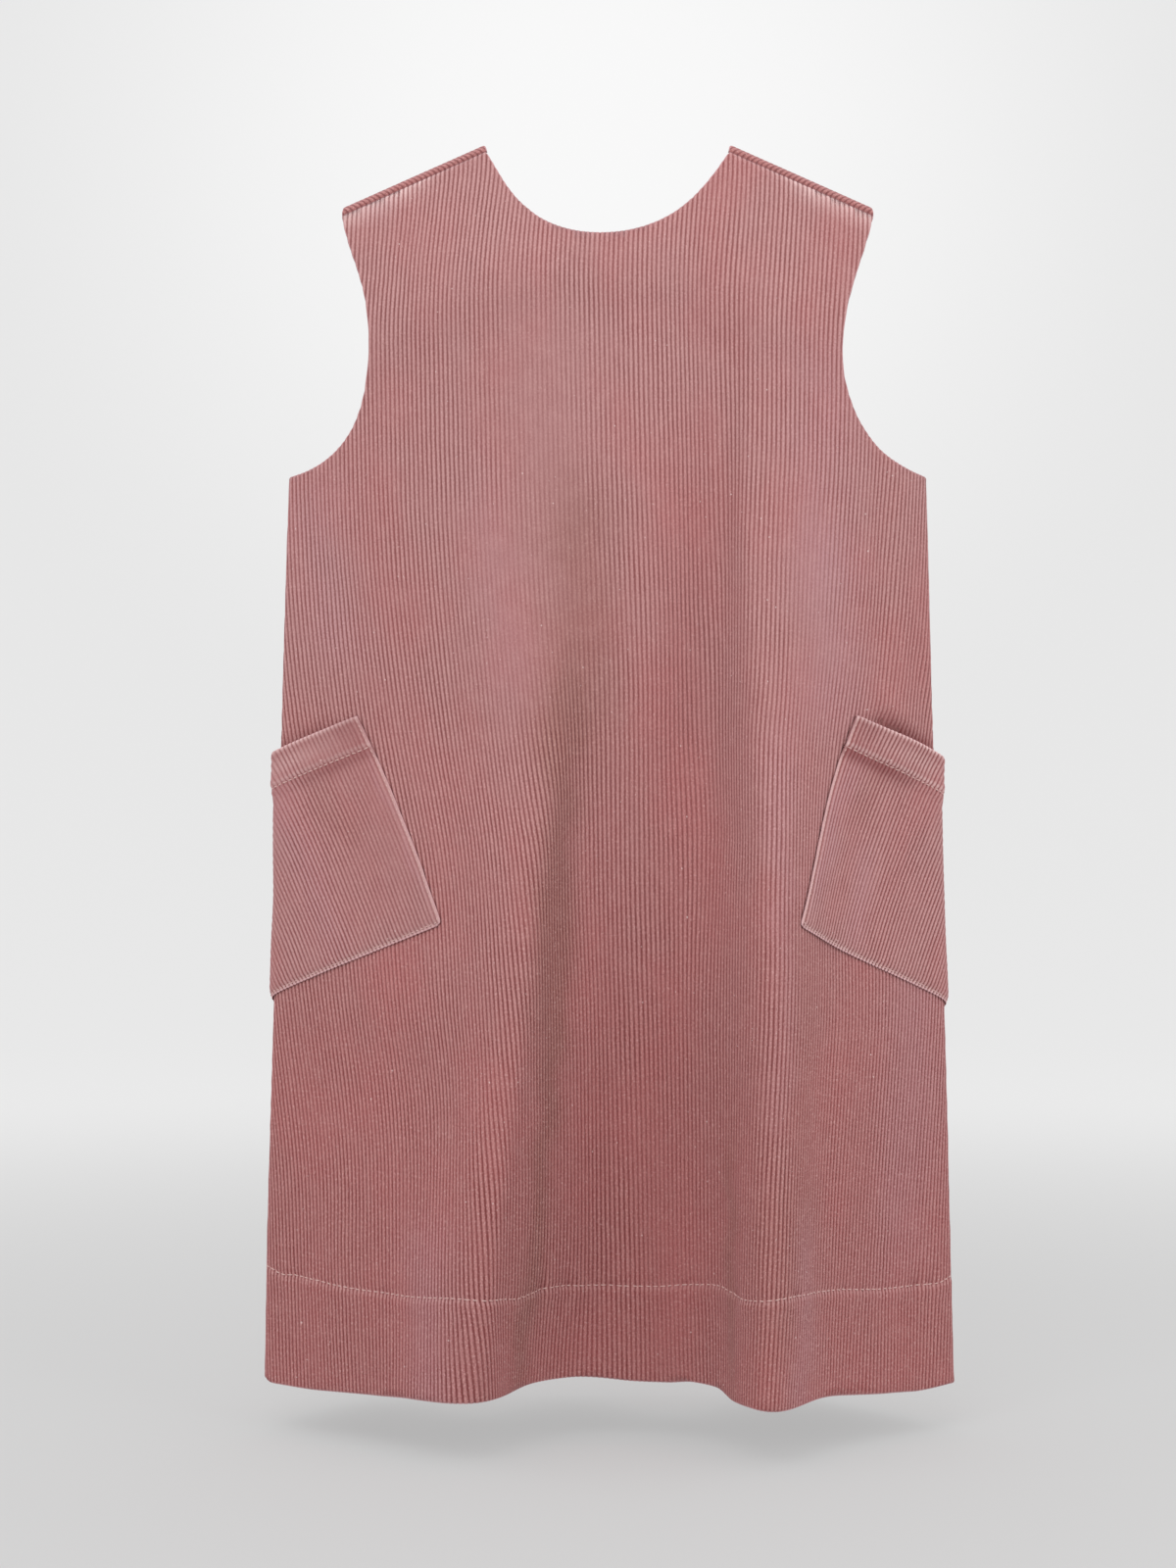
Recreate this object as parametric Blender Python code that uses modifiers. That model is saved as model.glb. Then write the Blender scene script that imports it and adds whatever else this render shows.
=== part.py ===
# A child's sleeveless A-line pinafore dress in wide-wale corduroy, hollow, as if filled out with nobody in it.
#
# Frame: metres, +Z up, the front faces -Y, left is -X. The origin lies midway between the tops of the
# shoulders at the neck, where the wearer carries the dress.
#
# The cloth is laid out flat first. A point of a panel has two flat sizes: how far it lies from the centre
# line, measured along the cloth, and its height. The form below says where that point goes.

from collections import namedtuple
import math

import bpy
from mathutils import Vector
from mathutils.geometry import delaunay_2d_cdt
import numpy as np

MM = 0.001

# Cloth
CLOTH = 1.7 * MM                # corduroy, one layer with its pile
GAP = 0.3 * MM                  # between sewn pieces

# Neck, shoulders and armholes
NECK_HALF_WIDTH = 68.5 * MM     # along the cloth, at the shoulder seam
NECK_DROP = 51.5 * MM           # centre of the neckline, below the top of the shoulders
NECK_SIDE_PULL = 21.0 * MM      # how straight the neckline starts, and how flat it runs at the centre
NECK_CENTRE_PULL = 40.0 * MM
NECK_START_ANGLE = math.radians(58)
SHOULDER_SLOPE = math.radians(23.5)
SHOULDER_ROLL = 14.0 * MM       # radius of the cloth's turn over the shoulder
SEAM_FORWARD = 13.0 * MM        # the shoulder seam, in front of the top of the turn
TIP_HALF_WIDTH = 143.5 * MM     # outer end of the shoulder, along the cloth
ARMHOLE_WAIST = {"left": (125.0 * MM, -107.5 * MM), "right": (131.0 * MM, -108.5 * MM)}   # its narrowest place
ARMHOLE_TOP_PULL = 27.0 * MM
ARMHOLE_WAIST_PULL = 30.0 * MM
ARMHOLE_END_PULL = 33.0 * MM
ARMHOLE_END_ANGLE = math.radians(8)
UNDERARM = -175.5 * MM

# Hem and back slit
HEM_AT_CENTRE = -646.0 * MM
HEM_AT_SIDE = -656.0 * MM
HEM_TURN_UP = 52.0 * MM
SLIT_LENGTH = 100.0 * MM
SLIT_HALF_WIDTH = 0.8 * MM

# Pockets: a rectangle, its mouth sloping down towards the back
POCKET_WIDTH = 148.0 * MM
POCKET_DEPTH = 114.0 * MM
POCKET_TILT = math.radians(31.5)  # against the side seam
POCKET_TOP = -302.0 * MM        # front end of the mouth
POCKET_FRONT = {"left": 47.0 * MM, "right": 54.0 * MM}   # the same, in front of the side seam
POCKET_MOUTH_HEM = 19.0 * MM
POCKET_CORNER_RADIUS = 4.0 * MM
POCKET_SLACK = 1.4 * MM         # how far the mouth stands off at its loosest
POCKET_CLEAR = 0.6 * MM         # between the pocket and the panels under it

# Button and loop at the back of the neck
BUTTON_RADIUS = 6.0 * MM
BUTTON_HEIGHT = 2.4 * MM
BUTTON_SHANK = (1.5 * MM, 1.9 * MM)         # radius, height
BUTTON_PLACE = (-9.5 * MM, 9.0 * MM)        # from the slit, below the neckline
LOOP_RADIUS = 0.65 * MM

# Form: the silhouette, half widths at each height
Side = namedtuple("Side", "height left right")
SIDES = tuple(Side(*(value * MM for value in row)) for row in (
    # height  left   right
    (20.0,   158.0, 158.0),
    (-80.0,  164.0, 164.0),
    (-176.0, 169.3, 169.2),
    (-305.0, 173.4, 172.8),
    (-460.0, 177.6, 179.0),
    (-600.0, 181.4, 182.6),
    (-680.0, 182.4, 184.8),
))

# Form: the lines that run down each panel, a row for each. At each height in turn the pair says how far the
# line lies from the centre and how far it stands out from the plane of the side seams, in millimetres.
FORM_HEIGHTS = tuple(z * MM for z in (10, -80, -182, -300, -390, -470, -560, -660))
FRONT_LINES = (
    # name          at 10        -80         -182        -300        -390        -470        -560        -660
    ("left flank", (-118, 19), (-112, 26), (-103, 30), (-93, 33),  (-84, 51),  (-82, 65),  (-103, 61), (-121, 50)),
    ("left fold",  (-56, 36),  (-46, 45),  (-35, 47),  (-24, 61),  (-37, 82),  (-46, 93),  (-59, 99),  (-71, 96)),
    ("left foot",  (-20, 32),  (-14, 40),  (-10, 44),  (-14, 50),  (-18, 54),  (-22, 60),  (-26, 56),  (-34, 43)),
    ("hollow",     (13, 30),   (21, 40),   (28, 43),   (24, 40),   (18, 38),   (14, 36),   (6, 32),    (-6, 28)),
    ("right rise", (58, 21),   (61, 26),   (60, 29),   (50, 29),   (47, 44),   (53, 61),   (52, 60),   (48, 51)),
    ("right fold", (80, 18),   (73, 32),   (68, 44),   (76, 62),   (80, 87),   (79, 97),   (78, 104),  (77, 108)),
    ("right edge", (115, 16),  (118, 24),  (121, 30),  (121, 33),  (120, 42),  (116, 57),  (113, 61),  (115, 58)),
)
BACK_LINES = (
    ("left flank", (-118, 16), (-120, 26), (-124, 32), (-126, 36), (-124, 48), (-122, 62), (-120, 74), (-118, 82)),
    ("left dip",   (-80, 20),  (-80, 36),  (-80, 43),  (-78, 44),  (-74, 44),  (-72, 42),  (-70, 40),  (-68, 37)),
    ("mid fold",   (-12, 24),  (-12, 42),  (-14, 50),  (-14, 54),  (-16, 66),  (-18, 80),  (-20, 89),  (-22, 93)),
    ("right dip",  (48, 22),   (48, 38),   (46, 46),   (44, 47),   (42, 47),   (40, 45),   (38, 42),   (36, 38)),
    ("right fold", (96, 18),   (98, 30),   (102, 39),  (100, 45),  (98, 62),   (96, 77),   (95, 88),   (94, 94)),
    ("right edge", (130, 12),  (134, 20),  (138, 24),  (140, 27),  (140, 36),  (140, 44),  (141, 48),  (142, 50)),
)
FRONT_CENTRE = (-6, -5, -3, 1, 2, 4, 6, 8)  # where the front's centre line runs, at the same heights
LEVEL_STEP = 5.0 * MM           # between the sections that the form is worked out at
LOOP_POINTS = 1440              # points round a section
SIDE_TURN = 7.5 * MM            # how softly the sections round off

# Mesh
PANEL_ROWS = tuple(z * MM for z in (
    13, 8, 3, -2, -8, -15, -24, -34, -46, -60, -78, -96, -116, -136, -156, -178,
    -206, -234, -262, -290, -318, -346, -374, -402, -430, -460, -492, -526, -560, -621))
INNER_COLUMNS = 15              # from the centre line to the band along the side seam
SIDE_COLUMNS = np.array([0, 2, 4, 6.5, 9.5, 13, 18, 25, 33, 42]) * MM   # from the side seam
POCKET_COLUMNS = np.concatenate([-SIDE_COLUMNS[:0:-1], SIDE_COLUMNS,
                                 np.array([-105, -98, -91, -84, -77, -70, -63, -56, -49, 51, 60, 69, 78]) * MM])
POCKET_ROW = 6.5 * MM
EDGE_CLEAR = 1.3 * MM           # between a cut edge and the nearest point inside it
OUTLINE_STEP = 9.0 * MM

DUSTY_PINK = (0.45, 0.17, 0.17, 1.0)
BUTTON_PINK = (0.50, 0.23, 0.22, 1.0)


# ---- small curves -------------------------------------------------------------------------------------

def monotone_curve(xs, ys, at):
    """Smooth curve through the points that never swings past them, read at the places in `at`."""
    xs, ys = np.asarray(xs, float), np.asarray(ys, float)
    run = np.diff(xs)
    rise = np.diff(ys) / run
    slopes = np.zeros(len(xs))
    same_way = rise[:-1] * rise[1:] > 0
    weight_a = 2 * run[1:] + run[:-1]
    weight_b = run[1:] + 2 * run[:-1]
    with np.errstate(divide="ignore", invalid="ignore"):
        mean = (weight_a + weight_b) / (weight_a / rise[:-1] + weight_b / rise[1:])
    slopes[1:-1] = np.where(same_way, mean, 0.0)
    slopes[0], slopes[-1] = rise[0], rise[-1]
    piece = np.clip(np.searchsorted(xs, at) - 1, 0, len(run) - 1)
    t = (at - xs[piece]) / run[piece]
    return (ys[piece] * (1 + 2 * t) * (1 - t) ** 2 + ys[piece + 1] * t * t * (3 - 2 * t)
            + run[piece] * (slopes[piece] * t * (1 - t) ** 2 - slopes[piece + 1] * t * t * (1 - t)))


def soft_step(value, start, end):
    t = np.clip((value - start) / (end - start), 0.0, 1.0)
    return t * t * (3 - 2 * t)


def bezier(start, pull_start, pull_end, end, step=OUTLINE_STEP):
    """Points of a Bezier arc, without its last one."""
    rough = sum(math.dist(a, b) for a, b in ((start, pull_start), (pull_start, pull_end), (pull_end, end)))
    count = max(2, round(rough / step))
    t = np.arange(count)[:, None] / count
    corners = np.array([start, pull_start, pull_end, end])
    return ((1 - t) ** 3 * corners[0] + 3 * t * (1 - t) ** 2 * corners[1]
            + 3 * t * t * (1 - t) * corners[2] + t ** 3 * corners[3])


def straight(start, end, step=OUTLINE_STEP):
    count = max(1, round(math.dist(start, end) / step))
    t = np.arange(count)[:, None] / count
    return np.array(start) * (1 - t) + np.array(end) * t


# ---- the form -----------------------------------------------------------------------------------------

def down_the_form(values, height):
    """A line of the tables, given in millimetres at each of the form's heights, read at one height."""
    return monotone_curve(FORM_HEIGHTS[::-1], [value * MM for value in values[::-1]], np.array([height]))[0]


def read_table(height):
    """Silhouette and fold lines of both panels at one height, in metres."""
    heights = [side.height for side in SIDES][::-1]
    left = monotone_curve(heights, [side.left for side in SIDES][::-1], np.array([height]))[0]
    right = monotone_curve(heights, [side.right for side in SIDES][::-1], np.array([height]))[0]
    panels = []
    for lines in (FRONT_LINES, BACK_LINES):
        places, depths = [], []
        for name, *pairs in lines:
            places.append(down_the_form([place for place, depth in pairs], height))
            depths.append(down_the_form([depth for place, depth in pairs], height))
        panels.append((np.array([-left, *places, right]), np.array([0.0, *depths, 0.0])))
    return left, right, panels


def even_loop(loop):
    """The closed loop again, its points evenly spaced, and its length."""
    closed = np.vstack([loop, loop[:1]])
    along = np.concatenate([[0.0], np.cumsum(np.linalg.norm(np.diff(closed, axis=0), axis=1))])
    at = np.arange(LOOP_POINTS) * along[-1] / LOOP_POINTS
    return np.stack([np.interp(at, along, closed[:, axis]) for axis in (0, 1)], axis=1), along[-1]


def rounded_loop(loop):
    """The loop with its corners rounded off by a running average."""
    loop, length = even_loop(loop)
    reach = int(3 * SIDE_TURN * LOOP_POINTS / length)
    steps = np.arange(-reach, reach + 1) * length / LOOP_POINTS
    weights = np.exp(-0.5 * (steps / SIDE_TURN) ** 2)
    weights /= weights.sum()
    return sum(w * np.roll(loop, shift, axis=0) for shift, w in zip(range(-reach, reach + 1), weights))


def section(height):
    """One closed section: its points, its length, and how far along it each side seam and centre lies.
    It starts at the centre of the front and runs towards +X."""
    left, right, (front, back) = read_table(height)
    turn = np.cos(np.linspace(math.pi, 0.0, 260))
    x = np.where(turn < 0, turn * left, turn * right)
    loop = np.vstack([
        np.stack([x, -monotone_curve(*front, x)], axis=1)[:-1],
        np.stack([x, monotone_curve(*back, x)], axis=1)[:0:-1],
    ])
    loop = rounded_loop(loop)
    low, high = loop[:, 0].min(), loop[:, 0].max()
    loop[:, 0] *= np.where(loop[:, 0] < 0, -left / low, right / high)
    centre = down_the_form(FRONT_CENTRE, height)
    start = np.argmin(np.abs(loop[:, 0] - centre) + (loop[:, 1] > 0))
    loop, length = even_loop(np.roll(loop, -start, axis=0))
    step = length / LOOP_POINTS
    right_seam = np.argmax(loop[:, 0]) * step
    left_seam = np.argmin(loop[:, 0]) * step - length
    behind = np.argmin(np.abs(loop[:, 0]) + (loop[:, 1] < 0))
    # Both centre lines lie between two of the loop's points.
    front_centre = (centre - loop[0, 0]) * step / (loop[1, 0] - loop[0, 0])
    slope = (loop[behind + 1, 0] - loop[behind - 1, 0]) / (2 * step)
    back_centre = behind * step - loop[behind, 0] / slope
    return loop, length, {"front": front_centre, "right": right_seam, "back": back_centre, "left": left_seam}


class Form:
    """All sections, and the places that flat points take on them."""
    direction = {"front": 1.0, "back": -1.0, "right": 1.0, "left": -1.0}

    def __init__(self):
        self.levels = np.arange(FORM_HEIGHTS[0] + 4 * LEVEL_STEP, -680 * MM, -LEVEL_STEP)
        sections = [section(np.clip(z, SIDES[-1].height, SIDES[0].height)) for z in self.levels]
        self.loops = np.array([loop for loop, _, _ in sections])
        self.lengths = np.array([length for _, length, _ in sections])
        self.marks = {name: np.array([marks[name] for _, _, marks in sections]) for name in self.direction}
        window = np.array([1, 4, 6, 4, 1]) / 16
        for name, marks in self.marks.items():
            padded = np.pad(marks, 2, mode="edge")
            self.marks[name] = np.convolve(padded, window, mode="valid")

    def mark(self, name, height):
        """How far along the section the named centre or side seam lies."""
        return np.interp(-np.asarray(height), -self.levels, self.marks[name])

    def half_width(self, panel, side, height):
        """Cloth from the centre line of a panel to a side seam."""
        across = self.mark(side, height) - self.mark(panel, height)
        if (panel, side) == ("back", "left"):
            across = across + np.interp(-np.asarray(height), -self.levels, self.lengths)
        return np.abs(across)

    def on_section(self, name, across, height):
        """x and y of points on the plain sections, `across` metres of cloth from the named line."""
        level = np.clip((self.levels[0] - height) / LEVEL_STEP, 0, len(self.levels) - 1.001)
        lower = level.astype(int)
        found = 0.0
        for index, share in ((lower, 1 - (level - lower)), (lower + 1, level - lower)):
            along = self.marks[name][index] + self.direction[name] * across
            spot = (along / self.lengths[index]) % 1.0 * LOOP_POINTS
            first = spot.astype(int) % LOOP_POINTS
            part = (spot - np.floor(spot))[:, None]
            loops = self.loops[index]
            rows = np.arange(len(index))
            found = found + share[:, None] * (
                loops[rows, first] * (1 - part) + loops[rows, (first + 1) % LOOP_POINTS] * part)
        return found[:, 0], found[:, 1]

    def place(self, name, across, height):
        """Points in space of flat points, on the outer face of the cloth."""
        across, height = np.atleast_1d(across).astype(float), np.atleast_1d(height).astype(float)
        if name in ("left", "right"):
            return np.stack([*self.on_section(name, across, height), height], axis=1)
        ridge = shoulder_line(across)
        below = ridge + (math.pi / 2 - 1) * SHOULDER_ROLL - height
        turn = np.clip(below / SHOULDER_ROLL, -math.pi / 2, math.pi / 2)
        drop = np.where(below > SHOULDER_ROLL * math.pi / 2,
                        below - SHOULDER_ROLL * (math.pi / 2 - 1), SHOULDER_ROLL * (1 - np.cos(turn)))
        z = ridge - drop
        x, y = self.on_section(name, across, z)
        grown = soft_step(drop, 0.0, 95 * MM)
        rolled = 1 - soft_step(drop, 16 * MM, 118 * MM)
        outward = -1.0 if name == "front" else 1.0
        return np.stack([x * grown + across * 0.978 * (1 - grown),
                         y * grown + outward * SHOULDER_ROLL * np.sin(turn) * rolled, z], axis=1)

    def normal(self, name, across, height, step=0.5 * MM):
        """Outward normals at flat points."""
        across, height = np.atleast_1d(across).astype(float), np.atleast_1d(height).astype(float)
        along = self.place(name, across + step, height) - self.place(name, across - step, height)
        up = self.place(name, across, height + step) - self.place(name, across, height - step)
        normal = np.cross(along, up) * self.direction[name]
        return normal / np.linalg.norm(normal, axis=1)[:, None]


def shoulder_line(across):
    """Height of the top of the shoulder, level with the origin at the neck and rounded over between."""
    far = np.abs(across)
    fall = math.tan(SHOULDER_SLOPE)
    return np.where(far > NECK_HALF_WIDTH, -fall * (far - NECK_HALF_WIDTH),
                    fall * (NECK_HALF_WIDTH ** 2 - far ** 2) / (2 * NECK_HALF_WIDTH))


# ---- flat outlines ------------------------------------------------------------------------------------

def hem_line(across, half):
    return HEM_AT_CENTRE + (HEM_AT_SIDE - HEM_AT_CENTRE) * (across / half) ** 2


def seam_height(across, panel):
    """Flat height of the shoulder seam's edge on this panel, half a gap from the seam."""
    top = shoulder_line(across) + (math.pi / 2 - 1) * SHOULDER_ROLL
    return top - SEAM_FORWARD - GAP / 2 if panel == "front" else top + SEAM_FORWARD - GAP / 2


def neck_and_armhole(form, panel, side, sign):
    """Flat outline from the centre of the neckline to the underarm, on one side."""
    neck = (NECK_HALF_WIDTH, seam_height(NECK_HALF_WIDTH, panel))
    centre = (0.0, -NECK_DROP)
    neck_pull = (neck[0] - NECK_SIDE_PULL * math.cos(NECK_START_ANGLE),
                 neck[1] - NECK_SIDE_PULL * math.sin(NECK_START_ANGLE))
    if panel == "back":
        over = (NECK_HALF_WIDTH, neck[1] - 2 * SEAM_FORWARD)
        neck_pull = (over[0] - NECK_SIDE_PULL * math.cos(NECK_START_ANGLE),
                     over[1] - NECK_SIDE_PULL * math.sin(NECK_START_ANGLE))
    tip = (TIP_HALF_WIDTH, seam_height(TIP_HALF_WIDTH, panel))
    underarm = (form.half_width(panel, side, UNDERARM) - GAP / 2, UNDERARM)
    below_tip = tip if panel == "front" else (TIP_HALF_WIDTH, tip[1] - 2 * SEAM_FORWARD)
    spans = [bezier(centre, (NECK_CENTRE_PULL, centre[1]), neck_pull, neck if panel == "front" else over)]
    if panel == "back":
        spans.append(straight(over, neck, 5 * MM))
    spans.append(straight(neck, tip))
    if panel == "back":
        spans.append(straight(tip, below_tip, 5 * MM))
    waist = ARMHOLE_WAIST[side]
    spans.append(bezier(below_tip, (below_tip[0] - 0.2 * ARMHOLE_TOP_PULL, below_tip[1] - ARMHOLE_TOP_PULL),
                        (waist[0], waist[1] + ARMHOLE_WAIST_PULL), waist))
    spans.append(bezier(waist, (waist[0], waist[1] - ARMHOLE_WAIST_PULL * 1.4),
                        (underarm[0] - ARMHOLE_END_PULL * math.cos(ARMHOLE_END_ANGLE),
                         underarm[1] + ARMHOLE_END_PULL * math.sin(ARMHOLE_END_ANGLE)), underarm, 6 * MM))
    return np.vstack(spans) * [sign, 1.0]


def panel_outline(form, panel):
    """Closed flat outline of a panel, counter-clockwise from the centre of the hem."""
    halves = []
    for side, sign in (("right", 1.0), ("left", -1.0)):
        top = neck_and_armhole(form, panel, side, sign)
        foot = form.half_width(panel, side, HEM_AT_SIDE) - GAP / 2
        heights = np.arange(UNDERARM, HEM_AT_SIDE + 6 * MM, -12 * MM)
        seam = np.stack([sign * (form.half_width(panel, side, heights) - GAP / 2), heights], axis=1)
        reach = np.arange(foot, 4 * MM, -OUTLINE_STEP)
        hem = np.stack([sign * reach, hem_line(reach, foot)], axis=1)
        if panel == "back":
            top = np.vstack([slit_edge(top[0], sign), top[1:]])
        halves.append(np.vstack([top, seam, hem]))
    right, left = halves
    if panel == "front":
        left = left[1:]
    return np.vstack([[(0.0, HEM_AT_CENTRE)], right[::-1], left])


def slit_edge(neck_centre, sign):
    """One edge of the slit, from its rounded foot up to the neckline."""
    foot = (0.0, neck_centre[1] - SLIT_LENGTH)
    turn = (SLIT_HALF_WIDTH * sign, foot[1] + SLIT_HALF_WIDTH)
    top = (SLIT_HALF_WIDTH * sign, neck_centre[1])
    edge = np.vstack([straight(turn, top, 10 * MM), [top]])
    return np.vstack([[foot], edge]) if sign > 0 else edge


def pocket_row(side, below, start=0.0, end=POCKET_WIDTH):
    """Flat points across a pocket from start to end, closest together where it turns round the side seam."""
    along = (POCKET_COLUMNS + POCKET_FRONT[side] + below * math.sin(POCKET_TILT)) / math.cos(POCKET_TILT)
    along = np.sort(along[(along > start + 2 * MM) & (along < end - 2 * MM)])
    along = np.concatenate([[start], along, [end]])
    return np.stack([along, np.full(len(along), below)], axis=1)


def pocket_outline(side):
    """Closed flat outline of a pocket: along the mouth, and down from it, with rounded lower corners."""
    w, d, r = POCKET_WIDTH, POCKET_DEPTH, POCKET_CORNER_RADIUS
    angles = np.linspace(0, math.pi / 2, 4)
    front_foot = np.stack([r * (1 - np.cos(angles)), d - r + r * np.sin(angles)], axis=1)
    back_foot = (front_foot * [-1, 1] + [w, 0])[::-1]
    return np.vstack([
        straight((0, 0), front_foot[0]), front_foot[:-1], pocket_row(side, d, r, w - r)[:-1], back_foot[:-1],
        straight(back_foot[-1], (w, 0)), pocket_row(side, 0.0)[:0:-1],
    ])


def on_side(form, side, along, below):
    """Distance from the side seam and height of a pocket's points. The seam flares by the same angle from
    the grain of both panels, so a flat piece across it drops away from a level line on both sides."""
    top, foot = POCKET_TOP, POCKET_TOP - POCKET_DEPTH
    grown = [form.half_width(panel, side, foot) - form.half_width(panel, side, top) for panel in ("front", "back")]
    flare = math.atan2(sum(grown) / 2, top - foot)
    across = along * math.cos(POCKET_TILT) - below * math.sin(POCKET_TILT) - POCKET_FRONT[side]
    down = along * math.sin(POCKET_TILT) + below * math.cos(POCKET_TILT)
    dip = np.hypot(across, SIDE_TURN) - math.hypot(POCKET_FRONT[side], SIDE_TURN)
    return across / math.cos(flare), top - down * math.cos(flare) - dip * math.sin(flare)


# ---- meshes -------------------------------------------------------------------------------------------

def inside_by(points, outline):
    """How far each flat point lies inside the outline, negative outside."""
    ends = np.roll(outline, -1, axis=0)
    run = ends - outline
    near = np.full(len(points), np.inf)
    crossings = np.zeros(len(points), int)
    for a, b, d in zip(outline, ends, run):
        t = np.clip(((points - a) @ d) / (d @ d), 0, 1)
        near = np.minimum(near, np.linalg.norm(points - a - t[:, None] * d, axis=1))
        if a[1] != b[1]:
            spans = (a[1] > points[:, 1]) != (b[1] > points[:, 1])
            crossings += spans & (points[:, 0] < a[0] + d[0] * (points[:, 1] - a[1]) / d[1])
    return np.where(crossings % 2 == 1, near, -near)


def flat_mesh(outline, lattice):
    """Triangles that fill the outline, with the lattice's points that lie clear of its edge."""
    lattice = lattice[inside_by(lattice, outline) > EDGE_CLEAR]
    points = np.vstack([outline, lattice])
    loop = [(i, (i + 1) % len(outline)) for i in range(len(outline))]
    found = delaunay_2d_cdt([Vector(p) for p in points / MM], loop, [], 1, 1e-4)
    return np.array([tuple(p) for p in found[0]]) * MM, np.array(found[2])


def material(name, colour, roughness):
    made = bpy.data.materials.new(name)
    made.use_nodes = True
    shader = made.node_tree.nodes["Principled BSDF"]
    shader.inputs["Base Color"].default_value = colour
    shader.inputs["Roughness"].default_value = roughness
    shader.inputs["Metallic"].default_value = 0.0
    made.diffuse_color = colour
    return made


def cloth_wall(name, outer, normals, thickness, faces, finish, collection):
    """A panel's wall: its outer face, and inwards from it along the form's own normals an inner face, so that
    the edges of two pieces stay parallel where they meet at a seam."""
    a, b, c = (outer[faces[:, i]] for i in range(3))
    inward = np.einsum("ij,ij->i", np.cross(b - a, c - a), normals[faces[:, 0]]) < 0
    faces[inward] = faces[inward][:, ::-1]
    count = len(outer)
    inner = outer - normals * thickness[:, None]
    runs = {(face[i], face[(i + 1) % 3]) for face in faces.tolist() for i in range(3)}
    rim = [(q, p, p + count, q + count) for p, q in sorted(runs) if (q, p) not in runs]
    mesh = bpy.data.meshes.new(name)
    mesh.from_pydata(np.vstack([outer, inner]).tolist(), [],
                     faces.tolist() + (faces[:, ::-1] + count).tolist() + rim)
    mesh.materials.append(finish)
    mesh.shade_smooth()
    mesh.set_sharp_from_angle(angle=math.radians(50))
    obj = bpy.data.objects.new(name, mesh)
    collection.objects.link(obj)
    return obj


def hem_dip(form, panel, across):
    """How much lower the hem is here than at the centre."""
    half = np.where(across > 0, form.half_width(panel, "right", HEM_AT_SIDE),
                    form.half_width(panel, "left", HEM_AT_SIDE))
    return hem_line(across, half) - HEM_AT_CENTRE


def panel_lattice(form, panel, turn_up):
    """Flat points of a panel, in rows that bend into the line of the hem and columns that fan out."""
    rows = np.array([*PANEL_ROWS, turn_up + 0.75 * MM, turn_up - 0.75 * MM])
    points = []
    for side, sign in (("right", 1.0), ("left", -1.0)):
        for row in rows:
            half = form.half_width(panel, side, row)
            inner = np.linspace(0.0, half - SIDE_COLUMNS[-1], INNER_COLUMNS)[:-1]
            across = sign * np.concatenate([inner[sign < 0:], half - SIDE_COLUMNS])
            bend = hem_dip(form, panel, across) * soft_step(-row, -UNDERARM, -turn_up)
            points.append(np.stack([across, row + bend], axis=1))
    return np.vstack(points)


def make_panel(form, panel, finish, collection):
    turn_up = HEM_AT_CENTRE + HEM_TURN_UP
    lattice = panel_lattice(form, panel, turn_up)
    flat, faces = flat_mesh(panel_outline(form, panel), lattice)
    across, height = flat.T
    points = form.place(panel, across, height)
    normals = form.normal(panel, across, height)
    doubled = height < turn_up + hem_dip(form, panel, across)
    thickness = np.where(doubled, 2 * CLOTH, CLOTH)
    return cloth_wall(f"{panel}_panel", points, normals, thickness, faces, finish, collection)


def pocket_stand(along, down):
    """How far the pocket's outer face stands off the panel: one layer, two at its mouth, and the slack."""
    hem = 1 - soft_step(down, POCKET_MOUTH_HEM, POCKET_MOUTH_HEM + 14 * MM)
    middle = np.sin(math.pi * np.clip(along / POCKET_WIDTH, 0, 1)) ** 1.5
    slack = middle * (1 - soft_step(down, 0.0, 70 * MM))
    return POCKET_CLEAR + CLOTH + hem * CLOTH + slack * POCKET_SLACK


def pocket_lattice(side):
    """Flat points of a pocket, with two rows close together where its mouth hem ends."""
    hem = POCKET_MOUTH_HEM
    rows = [0.3 * hem, 0.65 * hem, hem, hem + 1.2 * MM, *np.arange(hem + 8 * MM, POCKET_DEPTH, POCKET_ROW)]
    return np.vstack([pocket_row(side, below)[1:-1] for below in rows])


def make_pocket(form, side, finish, collection):
    flat, faces = flat_mesh(pocket_outline(side), pocket_lattice(side))
    along, below = flat.T
    from_seam, height = on_side(form, side, along, below)
    normals = form.normal(side, from_seam, height)
    points = form.place(side, from_seam, height) + normals * pocket_stand(along, below)[:, None]
    doubled = below < POCKET_MOUTH_HEM + 0.5 * MM
    thickness = np.where(doubled, 2 * CLOTH, CLOTH)
    return cloth_wall(f"{side}_pocket", points, normals, thickness, faces, finish, collection)


def frame_at(form, across, height):
    """A point on the back panel with its outward, across (+X) and up directions."""
    point = Vector(form.place("back", across, height)[0])
    outward = Vector(form.normal("back", across, height)[0])
    up = (Vector((0, 0, 1)) - outward * outward.z).normalized()
    return point, outward, up.cross(outward) * -1.0, up


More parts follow.
